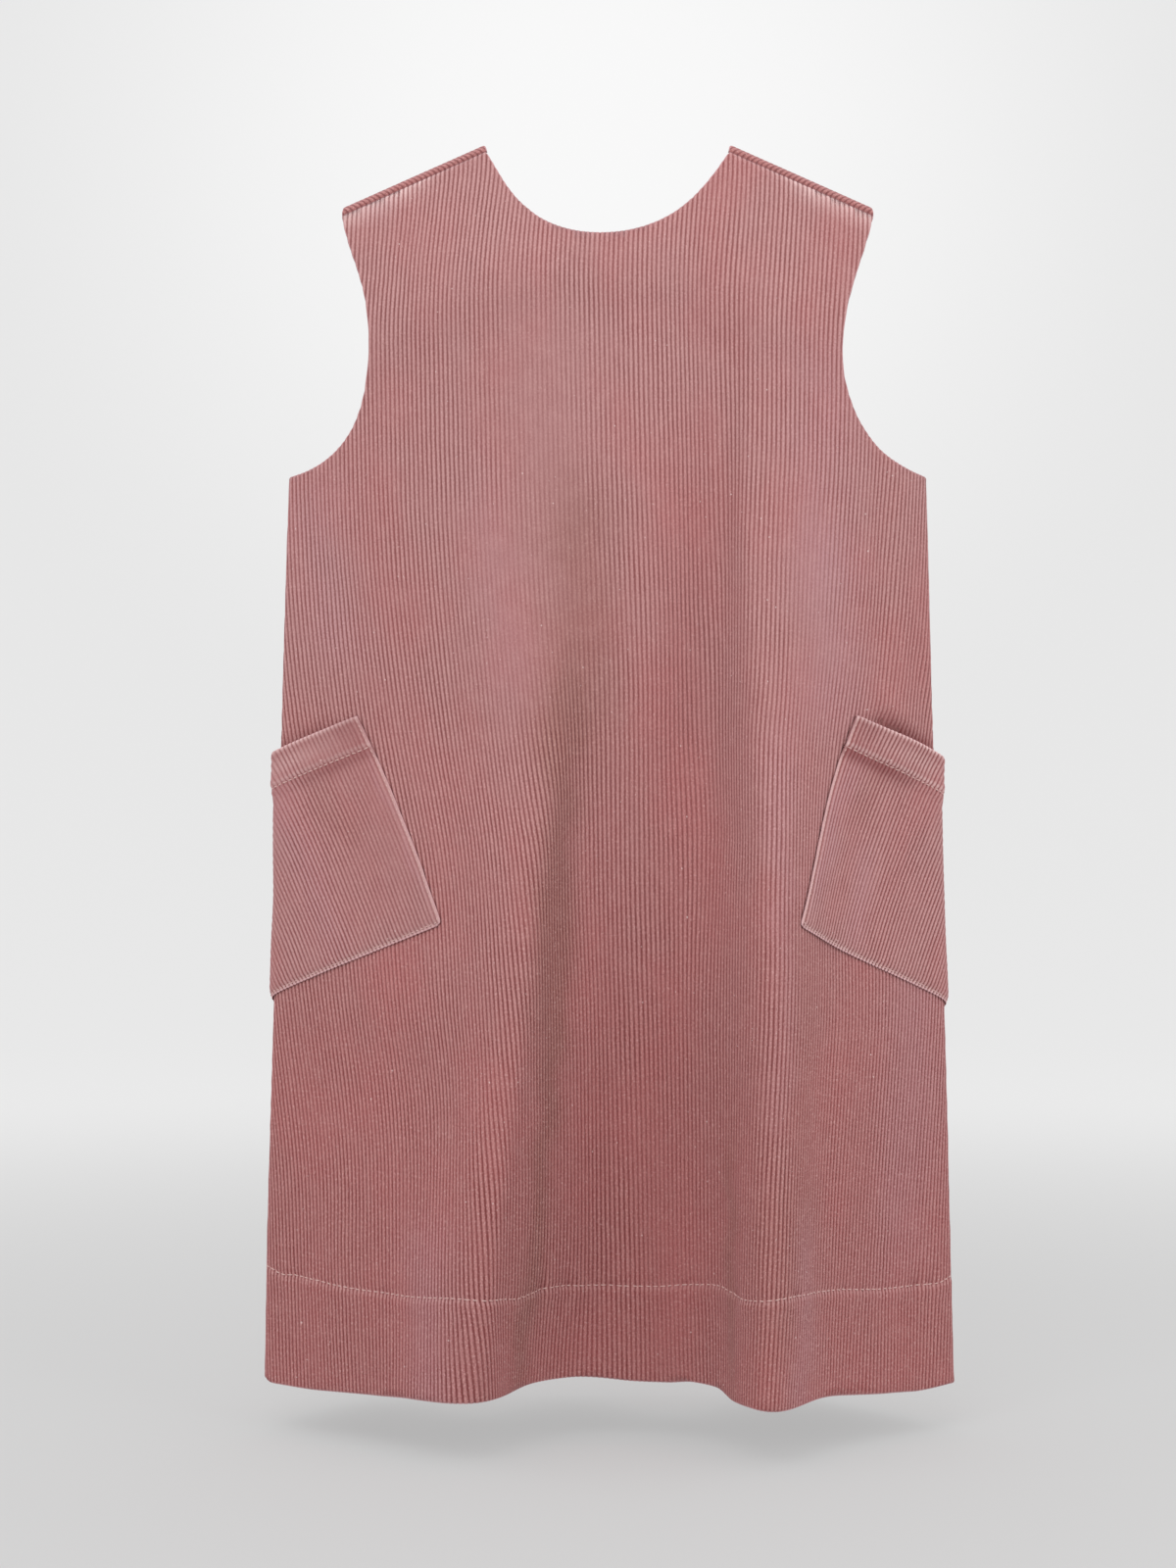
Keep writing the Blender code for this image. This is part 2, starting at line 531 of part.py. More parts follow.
def make_button(form, finish, collection):
    """Turned profile, a shank under a dished disc."""
    shank_radius, shank_height = BUTTON_SHANK
    top = GAP + shank_height + BUTTON_HEIGHT
    r = BUTTON_RADIUS
    profile = [(0, top - 0.5 * MM), (r * 0.62, top - 0.5 * MM), (r * 0.74, top), (r - 0.5 * MM, top),
               (r, top - 0.5 * MM), (r, top - BUTTON_HEIGHT + 0.5 * MM), (r - 0.5 * MM, top - BUTTON_HEIGHT),
               (shank_radius, top - BUTTON_HEIGHT), (shank_radius, GAP), (0, GAP)]
    mesh = bpy.data.meshes.new("neck_button")
    mesh.from_pydata([(x, 0, z) for x, z in profile], [(i, i + 1) for i in range(len(profile) - 1)], [])
    obj = bpy.data.objects.new("neck_button", mesh)
    collection.objects.link(obj)
    turned = obj.modifiers.new("turned", "SCREW")
    turned.steps = turned.render_steps = 24
    turned.use_merge_vertices = True
    turned.merge_threshold = 0.0001
    mesh.materials.append(finish)
    mesh.shade_smooth()
    point, outward, _, _ = frame_at(form, BUTTON_PLACE[0], -NECK_DROP - BUTTON_PLACE[1])
    obj.location = point
    obj.rotation_mode = "QUATERNION"
    obj.rotation_quaternion = outward.to_track_quat("Z", "Y")
    return obj


def make_loop(form, finish, collection):
    """Thread loop: from the slit's right edge, round the button's shank and back."""
    height = -NECK_DROP - BUTTON_PLACE[1]
    bend = BUTTON_SHANK[0] + LOOP_RADIUS + 0.5 * MM
    lift = GAP + LOOP_RADIUS + 0.1 * MM
    start = 5.0 * MM
    route = [(start, bend * 0.8), (0.0, bend)]
    route += [(BUTTON_PLACE[0] - bend * math.sin(turn), bend * math.cos(turn))
              for turn in np.linspace(0.0, math.pi, 9)]
    route += [(0.0, -bend), (start, -bend * 0.8)]
    curve = bpy.data.curves.new("button_loop", "CURVE")
    curve.dimensions = "3D"
    curve.bevel_depth = LOOP_RADIUS
    curve.bevel_resolution = 2
    curve.use_fill_caps = True
    spline = curve.splines.new("POLY")
    spline.points.add(len(route) - 1)
    for spot, (across, up) in zip(spline.points, route):
        point, outward, _, _ = frame_at(form, across, height + up)
        spot.co = (*(point + outward * lift), 1.0)
    curve.materials.append(finish)
    obj = bpy.data.objects.new("button_loop", curve)
    collection.objects.link(obj)
    return obj


def main():
    for obj in list(bpy.data.objects):
        bpy.data.objects.remove(obj, do_unlink=True)
    collection = bpy.data.collections.new("pinafore_dress")
    bpy.context.scene.collection.children.link(collection)
    corduroy = material("corduroy", DUSTY_PINK, 0.9)
    plastic = material("button", BUTTON_PINK, 0.45)
    thread = material("thread", BUTTON_PINK, 0.8)
    form = Form()
    for panel in ("front", "back"):
        make_panel(form, panel, corduroy, collection)
    for side in ("left", "right"):
        make_pocket(form, side, corduroy, collection)
    make_button(form, plastic, collection)
    make_loop(form, thread, collection)


main()
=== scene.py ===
import math

import bpy
import numpy as np
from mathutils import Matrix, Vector
from mathutils.geometry import delaunay_2d_cdt


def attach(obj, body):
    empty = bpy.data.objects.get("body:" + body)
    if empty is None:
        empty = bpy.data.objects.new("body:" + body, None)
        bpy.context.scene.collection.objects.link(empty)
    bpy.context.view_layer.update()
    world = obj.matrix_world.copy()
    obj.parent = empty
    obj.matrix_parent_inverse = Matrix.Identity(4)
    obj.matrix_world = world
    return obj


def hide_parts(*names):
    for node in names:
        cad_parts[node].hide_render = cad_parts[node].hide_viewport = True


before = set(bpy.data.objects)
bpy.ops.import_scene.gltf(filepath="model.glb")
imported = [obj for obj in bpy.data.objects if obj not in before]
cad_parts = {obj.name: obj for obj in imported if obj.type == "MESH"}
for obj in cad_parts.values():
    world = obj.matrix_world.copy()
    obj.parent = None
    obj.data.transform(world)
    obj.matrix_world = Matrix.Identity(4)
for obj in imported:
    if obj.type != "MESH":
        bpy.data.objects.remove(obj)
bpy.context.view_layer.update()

mm = 0.001
print("frame loaded:", ", ".join(sorted(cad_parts)))

# Cloth and cut, in metres along the cloth. The same sizes as the solids have.
cut = {
    "thickness": 1.7 * mm,
    "neckHalfWidth": 68.5 * mm,
    "neckDrop": 51.5 * mm,
    "neckSidePull": 21.0 * mm,
    "neckCentrePull": 40.0 * mm,
    "neckStartAngle": math.radians(58),
    "shoulderSlope": math.radians(23.5),
    "shoulderRoll": 14.0 * mm,
    "seamForward": 13.0 * mm,
    "tipHalfWidth": 143.5 * mm,
    "armholeWaist": {"left": (125.0 * mm, -107.5 * mm), "right": (131.0 * mm, -108.5 * mm)},
    "armholeTopPull": 27.0 * mm,
    "armholeWaistPull": 30.0 * mm,
    "armholeEndPull": 33.0 * mm,
    "armholeEndAngle": math.radians(8),
    "underarm": -175.5 * mm,
    "hemAtCentre": -646.0 * mm,
    "hemAtSide": -656.0 * mm,
    "hemTurnUp": 52.0 * mm,
    "slitLength": 100.0 * mm,
    "slitHalfWidth": 0.5 * mm,
}

# The form, in mm: silhouette, and the lines down each panel as pairs (from the centre, out from the seams).
form = {
    "sides": (  # height, left half width, right half width
        (20, 158, 158), (-80, 164, 164), (-176, 169.3, 169.2), (-305, 173.4, 172.8),
        (-460, 177.6, 179), (-600, 181.4, 182.6), (-680, 182.4, 184.8)),
    "heights": (10, -80, -182, -300, -390, -470, -560, -660),
    "front": {
        "left flank": ((-118, 19), (-112, 26), (-103, 30), (-93, 33), (-84, 51), (-82, 65), (-103, 61),
                       (-121, 50)),
        "left fold": ((-56, 36), (-46, 45), (-35, 47), (-24, 61), (-37, 82), (-46, 93), (-59, 99), (-71, 96)),
        "left foot": ((-20, 32), (-14, 40), (-10, 44), (-14, 50), (-18, 54), (-22, 60), (-26, 56), (-34, 43)),
        "hollow": ((13, 30), (21, 40), (28, 43), (24, 40), (18, 38), (14, 36), (6, 32), (-6, 28)),
        "right rise": ((58, 21), (61, 26), (60, 29), (50, 29), (47, 44), (53, 61), (52, 60), (48, 51)),
        "right fold": ((80, 18), (73, 32), (68, 44), (76, 62), (80, 87), (79, 97), (78, 104), (77, 108)),
        "right edge": ((115, 16), (118, 24), (121, 30), (121, 33), (120, 42), (116, 57), (113, 61),
                       (115, 58)),
    },
    "back": {
        "left flank": ((-118, 16), (-120, 26), (-124, 32), (-126, 36), (-124, 48), (-122, 62), (-120, 74),
                       (-118, 82)),
        "left dip": ((-80, 20), (-80, 36), (-80, 43), (-78, 44), (-74, 44), (-72, 42), (-70, 40), (-68, 37)),
        "mid fold": ((-12, 24), (-12, 42), (-14, 50), (-14, 54), (-16, 66), (-18, 80), (-20, 89), (-22, 93)),
        "right dip": ((48, 22), (48, 38), (46, 46), (44, 47), (42, 47), (40, 45), (38, 42), (36, 38)),
        "right fold": ((96, 18), (98, 30), (102, 39), (100, 45), (98, 62), (96, 77), (95, 88), (94, 94)),
        "right edge": ((130, 12), (134, 20), (138, 24), (140, 27), (140, 36), (140, 44), (141, 48),
                       (142, 50)),
    },
    "frontCentre": (-6, -5, -3, 1, 2, 4, 6, 8),
    "levelStep": 5.0 * mm,
    "loopPoints": 1440,
    "sideTurn": 7.5 * mm,
    "foot": -680 * mm,
}


def monotoneCurve(xs, ys, at):  # smooth through the points, and never swings past them
    xs, ys = np.asarray(xs, float), np.asarray(ys, float)
    run = np.diff(xs)
    rise = np.diff(ys) / run
    slopes = np.zeros(len(xs))
    sameWay = rise[:-1] * rise[1:] > 0
    weightA, weightB = 2 * run[1:] + run[:-1], run[1:] + 2 * run[:-1]
    with np.errstate(divide="ignore", invalid="ignore"):
        mean = (weightA + weightB) / (weightA / rise[:-1] + weightB / rise[1:])
    slopes[1:-1] = np.where(sameWay, mean, 0.0)
    slopes[0], slopes[-1] = rise[0], rise[-1]
    piece = np.clip(np.searchsorted(xs, at) - 1, 0, len(run) - 1)
    t = (at - xs[piece]) / run[piece]
    return (ys[piece] * (1 + 2 * t) * (1 - t) ** 2 + ys[piece + 1] * t * t * (3 - 2 * t)
            + run[piece] * (slopes[piece] * t * (1 - t) ** 2 - slopes[piece + 1] * t * t * (1 - t)))


def softStep(value, start, end):
    t = np.clip((value - start) / (end - start), 0.0, 1.0)
    return t * t * (3 - 2 * t)


def ramp(value, start, end):  # the same, with its ends in mm
    return softStep(value, start * mm, end * mm)


def bell(off, half):  # 1 in the middle, its half width in mm
    return np.exp(-(off / (half * mm)) ** 2)


def unit(vectors):
    return vectors / np.linalg.norm(vectors, axis=1)[:, None]


def lengthsAlong(points):
    return np.concatenate([[0.0], np.cumsum(np.linalg.norm(np.diff(points, axis=0), axis=1))])


def bezier(start, pullStart, pullEnd, end, step):  # without its last point
    corners = np.array([start, pullStart, pullEnd, end])
    count = max(2, round(np.linalg.norm(np.diff(corners, axis=0), axis=1).sum() / step))
    t = np.arange(count)[:, None] / count
    return ((1 - t) ** 3 * corners[0] + 3 * t * (1 - t) ** 2 * corners[1]
            + 3 * t * t * (1 - t) * corners[2] + t ** 3 * corners[3])


def straight(start, end, step):  # without its last point
    count = max(1, round(math.dist(start, end) / step))
    t = np.arange(count)[:, None] / count
    return np.array(start) * (1 - t) + np.array(end) * t


def downTheForm(values, height):
    heights = np.array(form["heights"][::-1]) * mm
    return monotoneCurve(heights, np.array(values[::-1]) * mm, np.array([height]))[0]


def evenLoop(loop):  # the closed loop again, its points evenly spaced, and its length
    closed = np.vstack([loop, loop[:1]])
    along = lengthsAlong(closed)
    at = np.arange(form["loopPoints"]) * along[-1] / form["loopPoints"]
    return np.stack([np.interp(at, along, closed[:, axis]) for axis in (0, 1)], axis=1), along[-1]


def roundedLoop(loop):
    loop, length = evenLoop(loop)
    turn, count = form["sideTurn"], form["loopPoints"]
    reach = int(3 * turn * count / length)
    steps = np.arange(-reach, reach + 1)
    weights = np.exp(-0.5 * (steps * length / count / turn) ** 2)
    return sum(w * np.roll(loop, shift, axis=0) for shift, w in zip(steps, weights / weights.sum()))


def section(height):  # a level of the form: its loop and length, and where on it the centres and seams lie
    levels = [row[0] * mm for row in form["sides"]][::-1]
    left, right = (monotoneCurve(levels, [row[i] * mm for row in form["sides"]][::-1], np.array([height]))[0]
                   for i in (1, 2))
    x = np.cos(np.linspace(math.pi, 0.0, 260))
    x = np.where(x < 0, x * left, x * right)
    lines = {}
    for panel in ("front", "back"):
        across = [downTheForm([pair[0] for pair in pairs], height) for pairs in form[panel].values()]
        out = [downTheForm([pair[1] for pair in pairs], height) for pairs in form[panel].values()]
        lines[panel] = monotoneCurve([-left, *across, right], [0.0, *out, 0.0], x)
    loop = roundedLoop(np.vstack([np.stack([x, -lines["front"]], axis=1)[:-1],
                                  np.stack([x, lines["back"]], axis=1)[:0:-1]]))
    loop[:, 0] *= np.where(loop[:, 0] < 0, -left / loop[:, 0].min(), right / loop[:, 0].max())
    centre = downTheForm(form["frontCentre"], height)
    start = np.argmin(np.abs(loop[:, 0] - centre) + (loop[:, 1] > 0))
    loop, length = evenLoop(np.roll(loop, -start, axis=0))
    step = length / form["loopPoints"]
    behind = np.argmin(np.abs(loop[:, 0]) + (loop[:, 1] < 0))
    slope = (loop[behind + 1, 0] - loop[behind - 1, 0]) / (2 * step)
    return loop, length, {
        "front": (centre - loop[0, 0]) * step / (loop[1, 0] - loop[0, 0]),
        "right": np.argmax(loop[:, 0]) * step,
        "back": behind * step - loop[behind, 0] / slope,
        "left": np.argmin(loop[:, 0]) * step - length,
    }


def shoulderLine(across):
    far, fall, neck = np.abs(across), math.tan(cut["shoulderSlope"]), cut["neckHalfWidth"]
    return np.where(far > neck, -fall * (far - neck), fall * (neck ** 2 - far ** 2) / (2 * neck))


class Form:  # all levels, and the places that flat points take on them
    direction = {"front": 1.0, "back": -1.0, "right": 1.0, "left": -1.0}

    def __init__(self):
        step = form["levelStep"]
        self.levels = np.arange(form["heights"][0] * mm + 4 * step, form["foot"], -step)
        found = [section(np.clip(z, form["foot"], 20 * mm)) for z in self.levels]
        self.loops = np.array([loop for loop, _, _ in found])
        self.lengths = np.array([length for _, length, _ in found])
        window = np.array([1, 4, 6, 4, 1]) / 16
        front = np.array([marks["front"] for _, _, marks in found])
        self.marks = {name: front + np.convolve(
            np.pad([marks[name] - marks["front"] for _, _, marks in found], 2, mode="edge"), window, "valid")
            for name in self.direction}

    def mark(self, name, height):
        return np.interp(-np.asarray(height), -self.levels, self.marks[name])

    def halfWidth(self, panel, side, height):  # cloth from a panel's centre line to one side seam
        across = self.mark(side, height) - self.mark(panel, height)
        if (panel, side) == ("back", "left"):
            across = across + np.interp(-np.asarray(height), -self.levels, self.lengths)
        return np.abs(across)

    def sideWidth(self, panel, across, height):  # and to the side seam on a place's own side
        left, right = (self.halfWidth(panel, side, height) for side in ("left", "right"))
        return np.where(across > 0, right, left)

    def onSection(self, name, across, height):
        level = np.clip((self.levels[0] - height) / form["levelStep"], 0, len(self.levels) - 1.001)
        lower = level.astype(int)
        count, found = form["loopPoints"], 0.0
        for index, share in ((lower, 1 - (level - lower)), (lower + 1, level - lower)):
            spot = (self.marks[name][index] + self.direction[name] * across) / self.lengths[index]
            spot = spot % 1.0 * count
            first = spot.astype(int) % count
            part = (spot - np.floor(spot))[:, None]
            loops = self.loops[index, first], self.loops[index, (first + 1) % count]
            found = found + share[:, None] * (loops[0] * (1 - part) + loops[1] * part)
        return found.T

    def place(self, name, across, height):  # points in space of flat points, on the outer face
        across, height = np.atleast_1d(across).astype(float), np.atleast_1d(height).astype(float)
        if name in ("left", "right"):
            return np.stack([*self.onSection(name, across, height), height], axis=1)
        roll = cut["shoulderRoll"]
        ridge = shoulderLine(across)
        below = ridge + (math.pi / 2 - 1) * roll - height
        turn = np.clip(below / roll, -math.pi / 2, math.pi / 2)
        drop = np.where(below > roll * math.pi / 2, below - roll * (math.pi / 2 - 1),
                        roll * (1 - np.cos(turn)))
        x, y = self.onSection(name, across, ridge - drop)
        grown = ramp(drop, 0, 95)
        rolled = 1 - ramp(drop, 16, 118)
        outward = -1.0 if name == "front" else 1.0
        return np.stack([x * grown + across * 0.978 * (1 - grown),
                         y * grown + outward * roll * np.sin(turn) * rolled,
                         ridge - drop], axis=1)

    def normal(self, name, across, height, step=0.5 * mm):
        along = self.place(name, across + step, height) - self.place(name, across - step, height)
        up = self.place(name, across, height + step) - self.place(name, across, height - step)
        return unit(np.cross(along, up) * self.direction[name])


def hemLine(across, half):
    return cut["hemAtCentre"] + (cut["hemAtSide"] - cut["hemAtCentre"]) * (across / half) ** 2


def hemEdge(panel, across, half):
    at, down = np.array(hem["drop"][panel]).T * mm
    return hemLine(across, half) - monotoneCurve(at, down, np.clip(across, at[0], at[-1]))


def seamHeight(across, panel):
    top = shoulderLine(across) + (math.pi / 2 - 1) * cut["shoulderRoll"]
    return top - cut["seamForward"] if panel == "front" else top + cut["seamForward"]


shape = Form()
print("form worked out on", len(shape.levels), "levels")

# The corduroy's own relief.
wale = {
    "pitch": 2.5 * mm,
    "depth": 0.64 * mm,
    "crestLift": 0.10 * mm,       # how far a crest stands proud of the solid's face
    "columns": (0.0, 0.22, 0.5, 0.78),   # where across a wale the mesh has its columns
    "roundness": (2.0, 0.80),     # of the hump: how broad its crown is, how steep its flanks
    "wander": 0.14 * mm,
}


def columnOf(across, columns=wale["columns"]):  # where a place lies, counted in mesh columns
    spot = across / wale["pitch"]
    whole = np.floor(spot)
    return len(columns) * whole + np.interp(spot - whole, (*columns, 1.0), range(len(columns) + 1))


def columnsBetween(low, high, columns=wale["columns"], stride=1):
    first, last = math.floor(low / wale["pitch"]), math.ceil(high / wale["pitch"])
    every = np.concatenate([(n + np.array(columns)) * wale["pitch"] for n in range(first, last + 1)])
    every = every[::stride]
    return every[(every > low) & (every < high)]


def waves(across, height, *terms):  # smooth unevenness, a sum of slow waves: share, across, height, start
    across, height = across / mm, height / mm
    return sum(share * np.sin(math.tau * (across / wide + height / tall) + start
                              + 1.7 * np.sin(math.tau * (across / (2.3 * wide) - height / (1.9 * tall))))
               for share, wide, tall, start in terms)


def waleWander(across, height):
    return wale["wander"] * waves(across, height, (0.55, 41, 67, 0.4), (0.3, 9.3, 31, 2.0),
                                  (0.15, 5.1, 17, 4.4))


def waleRelief(across, height):  # from the face of the solid, along the outward normal
    g = np.abs(2 * ((across / wale["pitch"]) % 1.0) - 1)
    crown, flank = wale["roundness"]
    hump = (1 - np.minimum(g, 1.0) ** crown) ** flank
    uneven = 1 + waves(across, height, (0.10, 7.9, 23, 1.0), (0.08, 33, 90, 2.2))
    return wale["crestLift"] - wale["depth"] * (1 - hump) * uneven


# Soft creases: flat ends in mm, how far it bows, half width, height (a trough is negative).
creases = {
    "front": {
        "neck crease": ((-36, -39), (-64, -43), 2.0, 1.5, 0.55),
        "neck crease foot": ((-38, -42), (-62, -46), 2.0, 2.2, -0.4),
        "left armhole pucker": ((-134, -66), (-112, -74), 1.0, 3.0, -0.8),
        "under left shoulder": ((-92, -16), (-118, -58), 4.0, 9.0, -1.3),
        "under left shoulder rise": ((-76, -22), (-98, -74), 3.0, 9.0, 0.8),
        "under right shoulder": ((96, -22), (122, -70), -3.0, 9.0, -1.0),
        "right step": ((154, -165), (166, -292), -3.0, 8.0, -1.5),
        "right step edge": ((166, -160), (180, -280), -3.0, 9.0, 0.9),
        "left side drag": ((-168, -186), (-140, -262), 4.0, 11.0, -1.0),
        "chest hollow": ((-12, -205), (-10, -318), 5.0, 15.0, -1.6),
        "centre ripple": ((22, -150), (14, -330), -5.0, 13.0, 0.8),
        "drag over pocket": ((184, -262), (212, -322), 2.0, 6.0, -1.1),
        "drag over pocket rise": ((196, -266), (216, -312), 2.0, 5.0, 0.8),
        "left fold foot": ((-60, -470), (-88, -640), 4.0, 9.0, -1.2),
        "left fold brow": ((-98, -500), (-104, -640), -4.0, 12.0, 1.1),
        "right fold side": ((146, -430), (150, -640), 5.0, 16.0, -1.3),
        "skirt ripple": ((22, -430), (26, -630), 4.0, 14.0, 0.9),
        "behind right mouth": ((168, -304), (200, -323), 1.0, 4.2, -4.2),
        "above right mouth": ((164, -292), (196, -309), 1.0, 6.0, 1.2),
        "behind left mouth": ((-160, -306), (-182, -318), -1.0, 3.0, -0.8),
        "press line": ((188, -577), (226, -582), 0.5, 1.2, -0.35),
        "left hem swell": ((-190, -560), (-196, -650), 3.0, 18.0, 1.2),
        "right hem swell": ((214, -540), (222, -650), -3.0, 16.0, -1.1),
    },
    "back": {
        "right blade": ((70, -40), (104, -118), 5.0, 11.0, -1.2),
        "left blade": ((-74, -48), (-112, -130), -5.0, 12.0, -1.0),
        "yoke swell": ((-44, -62), (-62, -150), 3.0, 15.0, 0.9),
        "slit ease": ((7, -70), (11, -170), 2.0, 7.0, 0.7),
        "slit ease left": ((-10, -96), (-14, -190), -2.0, 9.0, -0.8),
        "left waist drag": ((-172, -192), (-128, -280), 6.0, 11.0, -1.3),
        "right waist drag": ((176, -184), (140, -290), -6.0, 12.0, -1.2),
        "seat ripple": ((28, -240), (18, -400), -5.0, 15.0, 1.0),
        "left dip line": ((-88, -330), (-96, -560), 5.0, 12.0, -1.2),
        "mid fold brow": ((-24, -400), (-30, -620), -4.0, 13.0, 1.0),
        "right fold side": ((128, -420), (142, -630), 5.0, 14.0, -1.4),
        "left hem swell": ((-198, -540), (-208, -650), -3.0, 18.0, 1.2),
        "right hem swell": ((204, -560), (216, -650), 3.0, 15.0, -1.0),
        "press line": ((-150, -571), (-104, -575), 0.5, 1.2, -0.3),
    },
}


def alongLine(across, height, start, end, bow):  # how far along a line and how far off it flat points lie
    start, end = np.array(start) * mm, np.array(end) * mm
    run = end - start
    length = np.linalg.norm(run)
    run = run / length
    t = ((across - start[0]) * run[0] + (height - start[1]) * run[1]) / length
    off = (across - start[0]) * run[1] - (height - start[1]) * run[0]
    inside = np.clip(t, 0, 1)
    return t, off - bow * mm * 4 * inside * (1 - inside)


def creaseRelief(lines, across, height):
    found = np.zeros(len(across))
    for start, end, bow, half, rise in lines.values():
        t, off = alongLine(across, height, start, end, bow)
        found += rise * mm * softStep(t, -0.25, 0.3) * (1 - softStep(t, 0.6, 1.25)) * bell(off, half)
    return found


# The hem: turned up inside, with a line of stitches that lifts towards the side seams.
hem = {
    "stitchGroove": 0.50 * mm,
    "grooveHalfWidth": 1.4,        # in mm
    "riseReach": 24 * mm,          # how far from the side seam the stitch line lifts
    "runHeight": -590 * mm,        # where the cloth is measured across for its row of stitches
    "drift": {  # of the stitch line, in mm: across, up
        "front": ((-255, 2.0), (-244, 4.6), (-232, 6.0), (-218, 4.4), (-200, 2.0), (-180, 0.2), (-148, -1.0),
                  (-112, 0.6), (-86, -1.6), (-70, -3.6), (-56, -2.6), (-44, -2.0), (-18, -4.0), (0, -5.0),
                  (16, -4.4), (40, -1.2), (62, 1.0), (70, 0.0), (84, -1.4), (120, 2.0), (162, 1.6),
                  (200, 0.0), (235, 1.0)),
        "back": ((-240, 1.0), (-180, -1.2), (-120, 0.6), (-60, -1.5), (-10, -3.0), (40, -0.8), (92, 1.5),
                 (150, -1.2), (205, 0.6), (240, 1.5)),
    },
    "drop": {  # of the hem's edge below its plain line, in mm: across, down
        "front": ((-256, -2.4), (-251, -0.6), (-244, 0.0), (-215, 1.6), (-175, 1.4), (-150, 0.4), (-118, 0.0),
                  (-86, 1.4), (-52, 0.0), (-26, 0.4), (6, 2.9), (24, 2.0), (40, 0.0), (56, 0.0), (76, 3.2),
                  (100, 2.2), (118, 2.0), (158, 0.4), (206, 2.8), (226, 2.8), (255, 0.0)),
        "back": ((-268, -2.4), (-262, -0.6), (-254, 0.0), (-200, 1.4), (-140, 0.2), (-90, 1.8), (-30, 0.2),
                 (40, 2.2), (96, 0.4), (160, 1.8), (258, 0.0)),
    },
    "rise": {"front": {"left": 9.5 * mm, "right": 5.5 * mm}, "back": {"left": 6.0 * mm, "right": 8.0 * mm}},
    "puckers": {  # across and half widths in mm, how deep; a little swell stands on the far side of each
        "front": ((-229, 6, -0.5), (-168, 7, -0.5), (-50, 4, -1.1), (-31, 5, -0.8), (-6, 5, -0.9),
                  (37, 6, -0.5), (78, 5, -0.7), (126, 5, -0.9), (171, 7, -0.5), (226, 4, -1.0),
                  (236, 4, -0.8)),
        "back": ((-236, 5, -0.8), (-190, 6, -0.6), (-121, 5, -0.9), (-86, 6, -0.5), (-22, 5, -0.8),
                 (9, 4, -0.7), (58, 6, -0.6), (112, 5, -1.0), (150, 6, -0.5), (214, 5, -0.8), (240, 4, -0.9)),
    },
    "sway": {  # below the stitches some wales lean: across, half width in mm, degrees
        "front": ((-95, 17, 6.0), (-30, 22, -2.5), (132, 18, -4.0), (205, 20, 3.0)),
        "back": ((-130, 18, -4.0), (-40, 20, 3.5), (96, 16, 5.0), (190, 20, -3.0)),
    },
    "stitch": {"length": 3.3 * mm, "gap": 1.1 * mm, "radius": 0.29 * mm, "stand": 0.11 * mm},
}


stitchRow = cut["hemAtCentre"] + cut["hemTurnUp"]


def halfAtHem(panel, across):
    return shape.sideWidth(panel, across, cut["hemAtSide"])


def stitchRise(panel, across):
    rise = np.where(across > 0, hem["rise"][panel]["right"], hem["rise"][panel]["left"])
    toSide = np.maximum(halfAtHem(panel, across) - np.abs(across), 0)
    at, up = np.array(hem["drift"][panel]).T * mm
    drift = monotoneCurve(at, up, np.clip(across, at[0], at[-1]))
    return drift + rise * (1 - softStep(toSide, 0, hem["riseReach"]))


def rowBend(panel, across, row):  # how far a mesh row lies from level here
    dip = hemLine(across, halfAtHem(panel, across)) - cut["hemAtCentre"]
    return (dip * softStep(-row, -cut["underarm"], -stitchRow)
            + stitchRise(panel, across) * bell(row - stitchRow, 26))


def stitchHeight(panel, across):
    return hemLine(across, halfAtHem(panel, across)) + cut["hemTurnUp"] + stitchRise(panel, across)


def hemRelief(panel, across, height):
    above = height - stitchHeight(panel, across)
    found = 0.30 * mm * bell(above + 4 * mm, 3.5) - hem["stitchGroove"] * bell(above, hem["grooveHalfWidth"])
    for centre, half, deep in hem["puckers"][panel]:
        off = across - centre * mm
        found += deep * mm * bell(off, half) * bell(above, 9)
        found -= 0.5 * deep * mm * bell(off - 1.7 * half * mm, half) * bell(above, 11)
    return found


def hemSway(panel, across, height):
    below = np.maximum(stitchHeight(panel, across) - height, 0)
    return sum(math.tan(math.radians(lean)) * below * bell(across - centre * mm, half)
               for centre, half, lean in hem["sway"][panel])


# Pockets: flat places are how far along the mouth and how far below it.
pocket = {
    "width": 148.0 * mm,
    "depth": 114.0 * mm,
    "tilt": math.radians(31.5),        # of the mouth, against the side seam
    "top": -302.0 * mm,
    "front": {"left": 47.0 * mm, "right": 54.0 * mm},   # the mouth's front end, ahead of the side seam
    "cornerRadius": 4.0 * mm,
    "mouthStitch": 17.5 * mm,
    "mouthHem": 19.0 * mm,
    "clear": 0.6 * mm,
    "innerClear": 0.25 * mm,
    "slack": 1.1 * mm,
    "gape": {"left": (40, 20, 0.5), "right": (38, 22, 3.6)},   # along, half width and height in mm
    "edgeStitch": 1.5 * mm,
    "columns": (0.0, 0.12, 0.30, 0.5, 0.70, 0.88),
    "row": 3.2 * mm,
    "stitch": {"length": 2.9 * mm, "gap": 0.7 * mm, "radius": 0.30 * mm, "stand": 0.12 * mm},
    "edgeThread": {"length": 1.9 * mm, "gap": 1.1 * mm, "radius": 0.23 * mm, "stand": 0.20 * mm},
}
flares = {}
for side in ("left", "right"):
    top, foot = pocket["top"], pocket["top"] - pocket["depth"]
    grown = sum(shape.halfWidth(panel, side, foot) - shape.halfWidth(panel, side, top)
                for panel in ("front", "back"))
    flares[side] = math.atan2(grown / 2, top - foot)


def sideDip(side, across):  # how far a level line of the pocket drops on both sides of the seam
    return np.hypot(across, form["sideTurn"]) - math.hypot(pocket["front"][side], form["sideTurn"])


